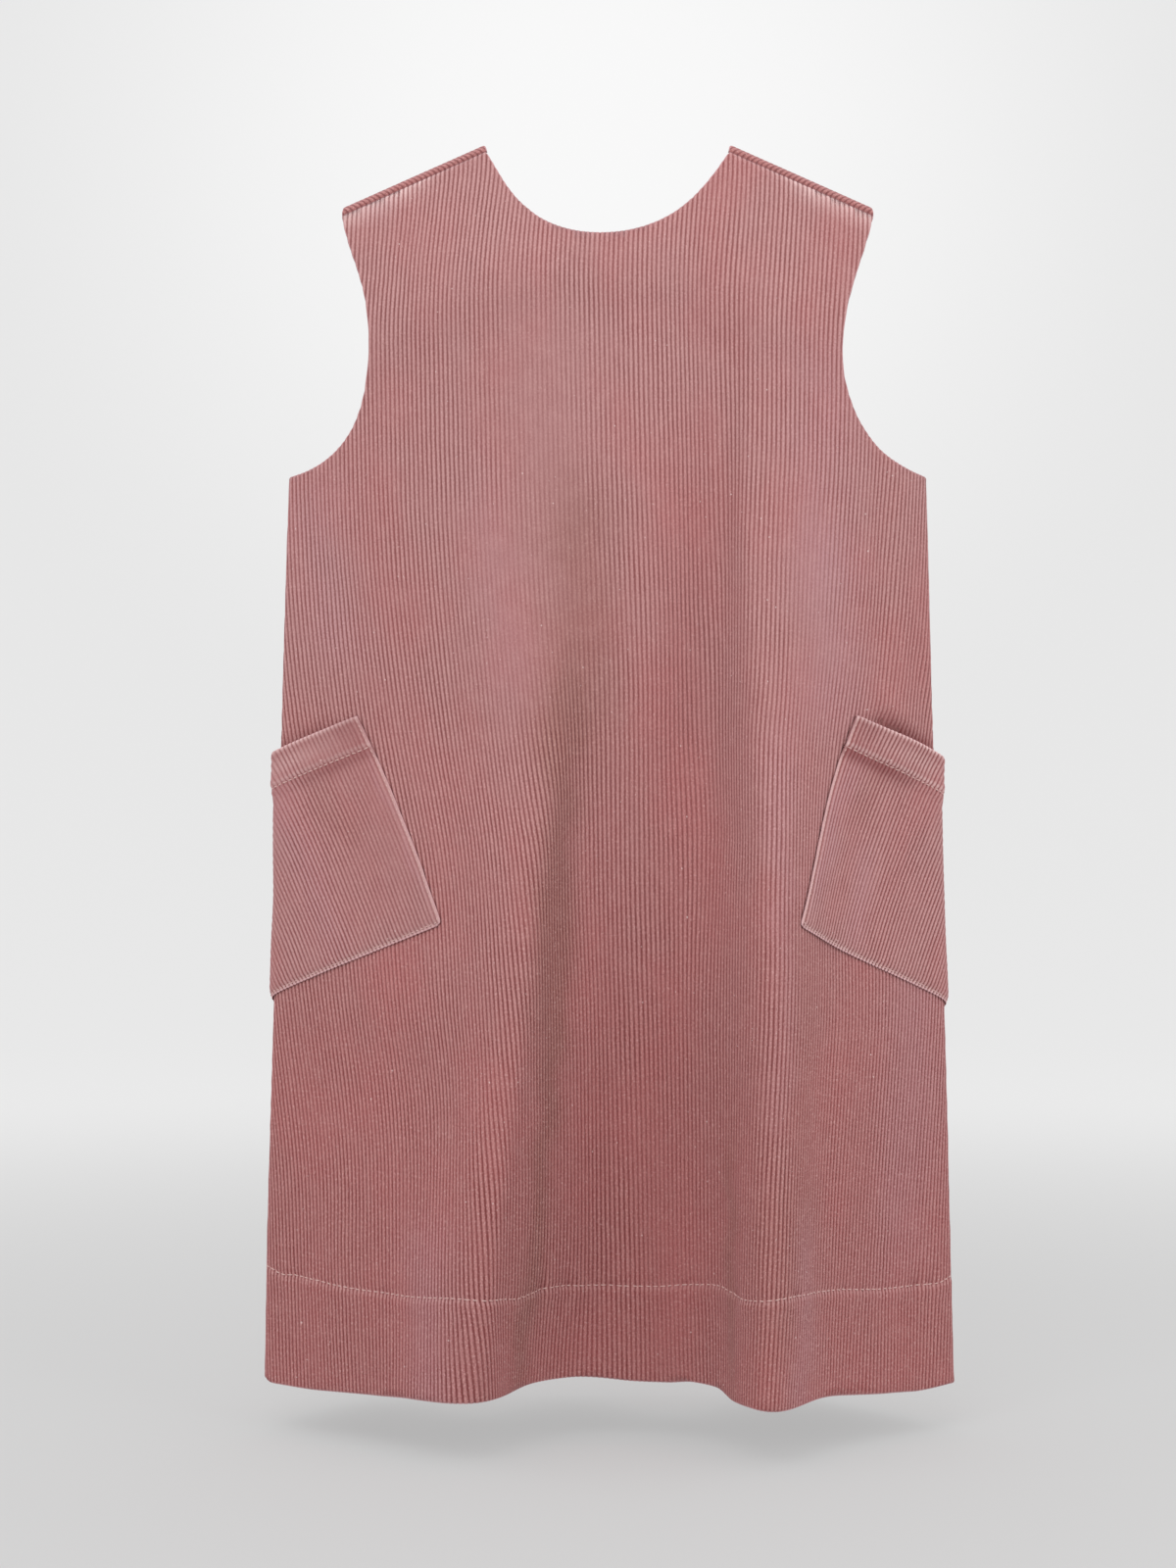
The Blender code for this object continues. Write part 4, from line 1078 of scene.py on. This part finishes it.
def panelNapAndLight(panel, across, height):
    kinds = napAndLightOf(napAndLight[panel], across, height)
    stand = standOf(kinds, across, height)
    off = fromShoulder(panel, across, height)
    above = height - stitchHeight(panel, across)
    # painted highlight on the wale caps just below the hem's stitch line; shade above the pocket mouths
    paintedHighlight, shade = 0.20 * bell(above + 0.9 * mm, 0.9), behindMouth(panel, across, height)
    slant = np.zeros(len(across))
    if panel == "front":   # painted highlight just below the shoulder seam, most towards its outer end
        outer = ramp(np.abs(across), 82, 112)
        paintedHighlight += (0.30 + 0.55 * outer) * bell(off, 1.6) + 0.70 * outer * bell(off, 8.5)
    else:   # the wales of the fold run out at a slant, and it looks duller and redder; painted shade lies along the seam
        upTo = 1 - ramp(off, *seam["foldEnd"])
        shade += 0.55 * bell(off, 0.9)
        slant = -np.sign(across) * 3 * wale["pitch"] * np.clip(off / (14 * mm), 0, 1)
        stand *= 2.1 - 1.1 * ramp(off, 8, 16)
        for kind, share in ((1, 0.35), (2, 0.85)):
            kinds[:, kind] = np.maximum(kinds[:, kind], share * upTo)
    # painted shade in the hem's pucker dimples, just above the stitches
    for centre, half, deep in hem["puckers"][panel]:
        shade -= 0.55 * deep * bell(across - centre * mm, 0.5 * half) * bell(above - 1.2 * mm, 1.6)
    return np.column_stack([kinds[:, :3], stand, np.clip(paintedHighlight, 0, 1), np.clip(shade, 0, 1), slant])


def panelPiece(panel):
    def face(across, height):
        moved = across + waleWander(across, height) * seamFade(panel, across, height)
        return shape.place(panel, moved + hemSway(panel, across, height), height)

    def relief(across, height):
        under = underPocket(panel, across, height)
        body = creaseRelief(creases[panel], across, height) + hemRelief(panel, across, height)
        body = body * seamFade(panel, across, height) * (1 - under) - 0.3 * mm * under
        stand = standOf(napAndLightOf(napAndLight[panel], across, height), across, height)
        if panel == "back":   # pressed flat along the shoulder seam
            stand = stand * (0.15 + 0.85 * ramp(fromShoulder(panel, across, height), 8, 20))
        return body + seamRelief(panel, across, height), waleRelief(across, height) * stand

    def thick(across, height):
        return cut["thickness"] * (1 + ramp(stitchHeight(panel, across) - height, -1.1, 1.1))

    return {"outline": panelOutline(panel), "outer": panelLattice(panel, panelRows, 1),
            "inner": panelLattice(panel, innerRows, fine["innerStride"]), "toGrid": panelGrid(panel),
            "face": face, "facing": shape.direction[panel], "relief": relief, "thick": thick,
            "napAndLight": lambda across, height: panelNapAndLight(panel, across, height)}


panels = {}
for panel in ("front", "back"):
    piece = panelPiece(panel)
    made = dress(shell(f"{panel}Panel", piece), f"{panel}_panel")
    panels[panel] = {"piece": piece, "object": made}
print("panels made")

# The two pockets.
pocketCreases = {  # as the panels', along and up from the mouth
    "left": {
        "lean": ((22, -30), (40, -104), 2.0, 10.0, -0.5),
        "turn": ((58, -24), (66, -100), -2.0, 9.0, 0.5),
        "back ripple": ((104, -20), (96, -98), 3.0, 11.0, -0.6),
        "under hem": ((12, -22), (72, -25), 1.0, 3.5, -0.3),
    },
    "right": {
        "lean": ((30, -26), (22, -98), -2.0, 9.0, -0.6),
        "turn": ((62, -30), (54, -104), 2.0, 10.0, 0.6),
        "back ripple": ((110, -18), (118, -92), -3.0, 11.0, -0.5),
        "mouth sag": ((20, -6), (60, -9), 1.0, 5.0, -0.4),
    },
}
pocketNapAndLight = {
    "left": {"mauveSheen": (((3, -20), (3, -110), 2.5, 0.4), ((64, -10), (70, -110), 13, 0.45)),
             "dullShade": (((40, -24), (34, -60), 9, 0.3),), "red": (((30, -40), (36, -100), 14, 0.4),),
             "pressed": (((8, -20), (12, -90), 8, 0.3), ((2, -8), (44, -8), 6, 0.45))},
    "right": {"mauveSheen": (((8, -24), (6, -100), 9, 0.6), ((40, -60), (48, -108), 10, 0.5)),
              "dullShade": (((30, -22), (26, -50), 8, 0.3),), "red": (((26, -50), (30, -104), 10, 0.4),),
              "pressed": (((50, -40), (44, -90), 7, 0.3),)},
}
pocketStandAndLight = {  # how much the wales stand up, the painted highlight above the mouth's stitches, the painted shade below them, and how much darker the pocket is overall
    "left": {"stand": 0.72, "hemHighlight": 0.35, "sagShade": 0.35, "shade": 0.13},
    "right": {"stand": 1.1, "hemHighlight": 0.55, "sagShade": 0.7, "shade": 0.02},
}


def toPocketEdge(along, below):  # distance from the nearest of the three sewn edges
    return np.minimum.reduce([along, pocket["width"] - along, pocket["depth"] - below])


def pressedEdge(toEdge):
    return 1.1 * mm * bell(toEdge, 2.6)


def pocketFoot(inset, count):  # the two round lower corners of a line that lies inset from the pocket's edge
    foot, radius = pocket["depth"] - inset, pocket["cornerRadius"] - inset
    turn = np.linspace(0, math.pi / 2, count)
    left = np.stack([inset + radius * (1 - np.cos(turn)), foot - radius + radius * np.sin(turn)], axis=1)
    return left, (left * [-1, 1] + [pocket["width"], 0])[::-1]


def pocketOutline():
    width, depth, radius = pocket["width"], pocket["depth"], pocket["cornerRadius"]
    left, right = pocketFoot(0, 9)
    level, mouth = (columnsBetween(inset, width - inset, pocket["columns"])
                    for inset in (radius + 0.2 * mm, 0.3 * mm))
    points = np.vstack([
        straight((0, 0), left[0], 1.2 * mm), left[:-1], np.stack([level, np.full(len(level), depth)], axis=1),
        right[:-1], straight(right[-1], (width, 0), 1.2 * mm), [(width, 0.0)],
        np.stack([mouth, np.zeros(len(mouth))], axis=1)[::-1]])
    return points * [1, -1], np.full(len(points), 1.25 * mm), np.where(points[:, 1] < 0.1 * mm, 1.0, 0.75)


def pocketGrid(points):
    return np.stack([columnOf(points[:, 0], pocket["columns"]), points[:, 1] / pocket["row"]], axis=1)


def pocketPiece(side):
    centre, half, lift = pocket["gape"][side]
    standAndLight = pocketStandAndLight[side]

    def standAt(along, up):   # flatter over the side fold
        even = standOf(napAndLightOf(pocketNapAndLight[side], along, up), along, up)
        return (even * (standAndLight["stand"] + 0.35 * ramp(along, 20, 60))
                * (1 - 0.5 * bell(onSide(side, along, -up)[0], 8)))

    def face(along, up):
        across, height = onSide(side, along + 0.6 * waleWander(along, up), -up)
        gape = lift * mm * bell(along - centre * mm, half) * (1 - ramp(-up, 0, 26))
        return (shape.place(side, across, height)
                + shape.normal(side, across, height) * (pocketStand(along, -up) + gape)[:, None])

    def relief(along, up):
        below, toEdge = -up - pocket["mouthStitch"], toPocketEdge(along, -up)
        body = (0.25 * mm * bell(below + 3 * mm, 2) - 0.62 * mm * bell(below, 1.1)
                - 0.30 * mm * bell(toEdge - pocket["edgeStitch"], 0.8)
                + creaseRelief(pocketCreases[side], along, up))
        return (body * ramp(np.minimum(toEdge, 3 * mm - up), 0, 1) - pressedEdge(toEdge),
                waleRelief(along, up) * standAt(along, up))

    def thick(along, up):
        doubled = ramp(pocket["mouthHem"] + up, -0.8, 0.8)
        return (pocket["clear"] - pocket["innerClear"] + cut["thickness"] * (1 + 0.7 * doubled)
                - pressedEdge(toPocketEdge(along, -up)))

    def napAndLightOver(along, up):
        kinds = napAndLightOf(pocketNapAndLight[side], along, up)
        below = -up - pocket["mouthStitch"]
        # painted highlights: beads along the mouth's edge, a paler hem band with a brighter patch, the wale
        # caps above the stitches, and pale rims along the sewn edges
        paintedHighlight = (bell(up, 1.7) + 0.05 * ramp(below, 0, -13)
                + 0.3 * bell(below + 9 * mm, 4) * bell(along - 46 * mm, 20)
                + standAndLight["hemHighlight"] * bell(below + 1.6 * mm, 1.0)
                + 0.55 * bell(np.minimum(along, pocket["width"] - along), 2.4)
                + 0.7 * bell(pocket["depth"] + up, 1.8))
        # painted shade under the stitches, in their groove, under the mouth's edge and at the band's front
        # end; and the whole pocket a little darker, most at its front end
        shade = (standAndLight["sagShade"] * (1 - ramp(along, 30, 62)) * bell(below - 2.2 * mm, 3.4)
                 + 0.22 * bell(below - 0.6 * mm, 0.8) + 0.20 * bell(up + 4.2 * mm, 2.2)
                 + 0.25 * (1 - ramp(along, 4, 26)) * ramp(-below, 0, 6)
                 + standAndLight["shade"] * (1 - 0.6 * ramp(along, 15, 60)))
        return np.column_stack([kinds[:, :3], standAt(along, up), np.clip(paintedHighlight, 0, 1), np.clip(shade, 0, 1),
                                np.zeros(len(up))])

    width, depth = pocket["width"], pocket["depth"]
    more = [pocket["mouthStitch"] + off * mm for off in (-3.4, -2, -1, 0, 1, 2, 3.4)]
    more += [1.9 * mm, 2.7 * mm, depth - 1.9 * mm, depth - 2.7 * mm, depth - 3.6 * mm]
    rows = rowsOf(more, (0, depth, pocket["row"]))[::-1]
    columns = columnsBetween(0, width, pocket["columns"])
    beside = [pocket["mouthHem"] - 0.9 * mm, pocket["mouthHem"] + 0.9 * mm]
    rowsIn = np.concatenate([np.arange(4 * mm, depth, 6.5 * mm), beside])
    return {"outline": pocketOutline(), "outer": np.array([(a, -b) for b in rows for a in columns]),
            "inner": np.array([(a, -b) for b in rowsIn for a in np.arange(3 * mm, width, 3 * mm)]),
            "toGrid": pocketGrid, "face": face, "facing": shape.direction[side], "relief": relief,
            "thick": thick, "napAndLight": napAndLightOver}


pockets = {}
for side in ("left", "right"):
    piece = pocketPiece(side)
    made = dress(shell(f"{side}Pocket", piece), f"{side}_pocket")
    pockets[side] = {"piece": piece, "object": made}
print("pockets made")

def onPiece(piece, u, v):  # points on the cloth as it lies, over its wales, and the outward normals
    here, normal, _, _ = frameOf(piece["face"], piece["facing"], u, v)
    body, _ = piece["relief"](u, v)
    return here + normal * (body + wale["crestLift"])[:, None], normal


chance = {  # how much the stitches of a row differ
    "length": (0.78, 1.08),
    "stand": (0.2, 1.5),
    "gap": (0.75, 1.3),
    "sunk": 0.07,            # share that is sunk in the pile, so just the middle shows
    "askew": 0.10 * mm,
}


def stitches(name, line, normals, look, seed):  # a row of thread stitches, pulled down at their ends
    draw = np.random.default_rng(seed)
    rings, sides = 7, 6
    beside = [(j, (j + 1) % sides) for j in range(sides)]
    t, turn = np.linspace(0, 1, rings), np.arange(sides) * math.tau / sides
    hump = np.sin(math.pi * t) ** 0.6
    points, faces = [], []
    along = lengthsAlong(line)
    at = look["gap"]
    while at + look["length"] < along[-1]:
        length = look["length"] * draw.uniform(*chance["length"])
        stand = look["stand"] * draw.uniform(*chance["stand"])
        if draw.random() < chance["sunk"]:
            stand -= 0.6 * look["radius"]
        middle, up = (np.stack([np.interp(at + t * length, along, axis) for axis in values.T], axis=1)
                      for values in (line, normals))
        up = unit(up)
        across = unit(np.cross(np.gradient(middle, axis=0), up))
        middle += up * (stand * hump - look["radius"] * 1.5 * (1 - hump))[:, None]
        middle += across * (draw.normal(0, chance["askew"]) * np.cos(math.pi * t))[:, None]
        radius = look["radius"] * (0.55 + 0.45 * hump)
        base = len(points) * (rings * sides + 2)
        ring = (middle[:, None] + radius[:, None, None] * (
            np.cos(turn)[None, :, None] * up[:, None] + np.sin(turn)[None, :, None] * across[:, None]))
        points.append(np.vstack([ring.reshape(-1, 3), middle[:1], middle[-1:]]))
        last = base + rings * sides
        faces += [(row + j, row + k, row + k + sides, row + j + sides)
                  for row in range(base, last - sides, sides) for j, k in beside]
        for j, k in beside:
            faces += [(last, base + k, base + j), (last + 1, last - sides + j, last - sides + k)]
        at += length + look["gap"] * draw.uniform(*chance["gap"])
    made = addMesh(name, np.vstack(points).tolist(), [], faces, finishes["thread"])
    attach(made, "root")
    print(f"  {name}: {len(points)} stitches")
    return made


sewn = {"front": [], "back": [], "left": [], "right": []}
for seed, panel in enumerate(("front", "back"), 11):
    left, right = (float(shape.halfWidth(panel, side, hem["runHeight"])) - 1.5 * mm
                   for side in ("left", "right"))
    across = np.arange(-left, right, 0.6 * mm)
    run = onPiece(panels[panel]["piece"], across, stitchHeight(panel, across))
    sewn[panel].append(stitches(f"{panel}HemStitches", *run, hem["stitch"], seed))
for seed, side in enumerate(("left", "right")):
    piece, width, inset = pockets[side]["piece"], pocket["width"], pocket["edgeStitch"]
    across = np.arange(inset, width - inset, 0.5 * mm)
    run = onPiece(piece, across, np.full(len(across), -pocket["mouthStitch"]))
    sewn[side].append(stitches(f"{side}MouthStitches", *run, pocket["stitch"], 21 + seed))
    left, right = pocketFoot(inset, 8)
    route = np.vstack([straight((inset, 1.0 * mm), left[0], 0.5 * mm), left[:-1],
                       straight(left[-1], right[0], 0.5 * mm), right[:-1],
                       straight(right[-1], (width - inset, 1.0 * mm), 0.5 * mm)])
    run = onPiece(piece, route[:, 0], -route[:, 1])
    sewn[side].append(stitches(f"{side}EdgeStitches", *run, pocket["edgeThread"], 31 + seed))
slitSew = {"inset": 4.0 * mm, "past": 5.0 * mm}
for name, seed, sign in (("Left", 41, -1), ("Right", 43, 1)):
    top, foot = -cut["neckDrop"] - 1.5 * mm, -cut["neckDrop"] - cut["slitLength"] - slitSew["past"]
    corner = (sign * slitSew["inset"], foot)
    route = np.vstack([straight((corner[0], top), corner, 0.6 * mm),
                       straight(corner, (0.2 * mm * sign, foot), 0.6 * mm)])
    run = onPiece(panels["back"]["piece"], *route.T)
    sewn["back"].append(stitches(f"slitStitches{name}", *run, hem["stitch"], seed))
print("sewing made")

# The button and the thread loop behind the neck.
fastening = {   # the dish of the button's face as pairs: share of its radius, how deep in mm
    "place": (-9.5 * mm, -cut["neckDrop"] - 9.0 * mm),
    "radius": 6.0 * mm,
    "height": 2.4 * mm,
    "shank": (1.5 * mm, 1.9 * mm),
    "rim": 0.55 * mm,
    "dish": ((0, 0.55), (0.30, 0.54), (0.55, 0.46), (0.66, 0.22), (0.74, 0.03), (0.80, 0)),
    "clear": 0.3 * mm,
    "thread": 0.65 * mm,
    "loopStart": 5.0 * mm,
    "twist": 2.6 * mm,       # length along the loop for one turn of its plies
}


def onBack(across, height):  # a place on the back panel, and outward there
    return tuple(Vector(found("back", across, height)[0]) for found in (shape.place, shape.normal))


def makeButton():
    radius, low, rim = fastening["radius"], fastening["clear"], fastening["rim"]
    shank, shankHeight = fastening["shank"]
    under, top = low + shankHeight, low + shankHeight + fastening["height"]
    turn = np.linspace(0, math.pi / 2, 7)
    profile = [(radius * share, top - down * mm) for share, down in fastening["dish"]]
    profile += [(radius - rim + rim * math.sin(t), top - rim + rim * math.cos(t)) for t in turn]
    profile += [(radius - rim + rim * math.cos(t), under + rim - rim * math.sin(t)) for t in turn]
    profile += [(shank + 0.4 * mm, under), (shank, under - 0.4 * mm), (shank, low), (0, low)]
    made = addMesh("neckButton", [(x, 0, z) for x, z in profile],
                   [(i, i + 1) for i in range(len(profile) - 1)], [], finishes["button"])
    turned = made.modifiers.new("turned", "SCREW")
    turned.steps = turned.render_steps = 72
    turned.use_merge_vertices, turned.merge_threshold = True, 0.00001
    turned.use_smooth_shade = True
    made.location, outward = onBack(*fastening["place"])
    made.rotation_mode = "QUATERNION"
    made.rotation_quaternion = outward.to_track_quat("Z", "Y")
    dress(made, "neck_button")


def makeLoop():  # from the slit's right edge round the shank and back, two plies twisted together
    across, height = fastening["place"]
    thread, reach = fastening["thread"], 0.44 * fastening["thread"]
    bend = fastening["shank"][0] + thread + 0.5 * mm
    lift = fastening["clear"] + thread + 0.1 * mm
    turn, end = np.linspace(0, math.pi, 13), (fastening["loopStart"], bend * 0.8)
    arc = np.stack([across - bend * np.sin(turn), bend * np.cos(turn)], axis=1)
    route = np.vstack([straight(end, (0, bend), 0.4 * mm), straight((0, bend), arc[0], 0.4 * mm), arc[:-1],
                       straight(arc[-1], (0, -bend), 0.4 * mm),
                       straight((0, -bend), (end[0], -end[1]), 0.4 * mm)])
    along = lengthsAlong(route)
    at = np.arange(0, along[-1], 0.25 * mm)
    route = np.stack([np.interp(at, along, route[:, i]) for i in (0, 1)], axis=1)
    run = unit(np.gradient(route, axis=0))
    curve = bpy.data.curves.new("buttonLoop", "CURVE")
    curve.dimensions = "3D"
    curve.bevel_depth, curve.bevel_resolution, curve.use_fill_caps = 0.56 * thread, 3, True
    for start in (0.0, math.pi):
        spline = curve.splines.new("POLY")
        spline.points.add(len(route) - 1)
        for spot, (x, up), (runX, runUp), s in zip(spline.points, route, run, at):
            angle = start + math.tau * s / fastening["twist"]
            side = reach * math.cos(angle)
            point, outward = onBack(x - side * runUp, height + up + side * runX)
            spot.co = (*(point + outward * (lift + reach * math.sin(angle))), 1.0)
        spline.use_smooth = True
    curve.materials.append(finishes["thread"])
    dress(addObject("buttonLoop", curve), "button_loop")


makeButton()
makeLoop()
print("button and loop made")

# The size and area of each panel's flat outline (what the cloth was cut to, the part that shows) are worked
# out here and not used.
for panel, other in (("front", "back"), ("back", "front")):
    outline = panels[panel]["piece"]["outline"][0]
    size = outline.max(axis=0) - outline.min(axis=0)
    float(flatArea(outline))

view = {"place": (-0.0104, -1.6, -0.338), "height": 0.832, "sensor": 36}   # height of the frame at the dress
camera = addObject("camera", bpy.data.cameras.new("camera"))
camera.location = view["place"]
camera.rotation_euler = (math.pi / 2, 0, 0)
camera.data.sensor_width = view["sensor"]
camera.data.lens = -view["sensor"] * view["place"][1] / view["height"]
bpy.context.scene.camera = camera
bpy.context.scene.view_settings.view_transform = "Standard"

studio = {
    "floor": -0.680, "radius": 3.2, "sweep": 1.1, "wall": 2.6, "sky": 0.9,
    "paper": 0.217,
    "glow": (0.42, 0.60),            # painted light: the floor's own glow, near and far
    "glowReach": (0.7, 1.9),
    "halo": 0.745,                   # a painted pool of light on the wall behind the dress
    "haloCentre": (0, 3.2, 0.72),
    "haloReach": (1.15, 0.1),
}
world = bpy.data.worlds.new("studio")
bpy.context.scene.world = world
world.use_nodes = True
sky = world.node_tree.nodes["Background"].inputs
sky["Color"].default_value = (1, 1, 1, 1)
sky["Strength"].default_value = studio["sky"]


def grey(level):
    return (level, level, level, 1)


def makeStage():  # a round, softly lit floor that sweeps up into a wall on all sides; its own glow is painted light, paler further out and in a painted pool behind the dress
    turn = np.linspace(0, math.pi / 2, 12)[1:]
    sweep, flatEnd = studio["sweep"], studio["radius"] - studio["sweep"]
    profile = [(r, 0.0) for r in np.linspace(0.05, flatEnd, 14)]
    profile += [(flatEnd + sweep * math.sin(t), sweep * (1 - math.cos(t))) for t in turn]
    profile.append((studio["radius"], studio["wall"]))
    count = 96
    angles = np.arange(count) * math.tau / count
    points = [(0, 0, studio["floor"])]
    points += [(r * math.cos(a), r * math.sin(a), studio["floor"] + z) for r, z in profile for a in angles]
    faces = [(0, 1 + i, 1 + (i + 1) % count) for i in range(count)]
    for ring in range(len(profile) - 1):
        for i in range(count):
            a, b = 1 + ring * count + i, 1 + ring * count + (i + 1) % count
            faces.append((a, a + count, b + count, b))
    finish = Finish("paper")
    place = finish.position()
    away = finish.node("ShaderNodeVectorMath", {"operation": "LENGTH"}, {0: place}, "Value")
    fromHalo = finish.node("ShaderNodeVectorMath", {"operation": "DISTANCE"},
                           {0: place, 1: studio["haloCentre"]}, "Value")
    glow = finish.mix(finish.between(away, *studio["glowReach"]), *(grey(level) for level in studio["glow"]))
    glow = finish.mix(finish.between(fromHalo, *studio["haloReach"]), glow, grey(studio["halo"]))
    paper = finish.surface(
        colour=grey(studio["paper"]), roughness=0.85, specular=0.1, glow=glow, glowStrength=1.0,
        normal=finish.bump(finish.noise(place, (160, 160, 160)), 0.02, 1 * mm))
    addMesh("studioFloor", points, [], faces, paper)


def softBox(name, place, target, size, power):
    light = addObject(name, bpy.data.lights.new(name, "AREA"))
    light.data.shape, light.data.energy = "RECTANGLE", power
    light.data.size, light.data.size_y = size
    light.location = place
    light.rotation_euler = (Vector(target) - Vector(place)).to_track_quat("-Z", "Y").to_euler()
    light.visible_camera = False


lights = {  # place, what it points at, size, power
    "key": ((-0.55, -1.7, 1.35), (0, 0, -0.25), (1.6, 1.1), 14.3),
    "fill": ((1.5, -1.3, 0.7), (0, 0, -0.3), (1.2, 1.4), 5.6),
}
makeStage()
for name, settings in lights.items():
    softBox(name, *settings)
print("studio made")
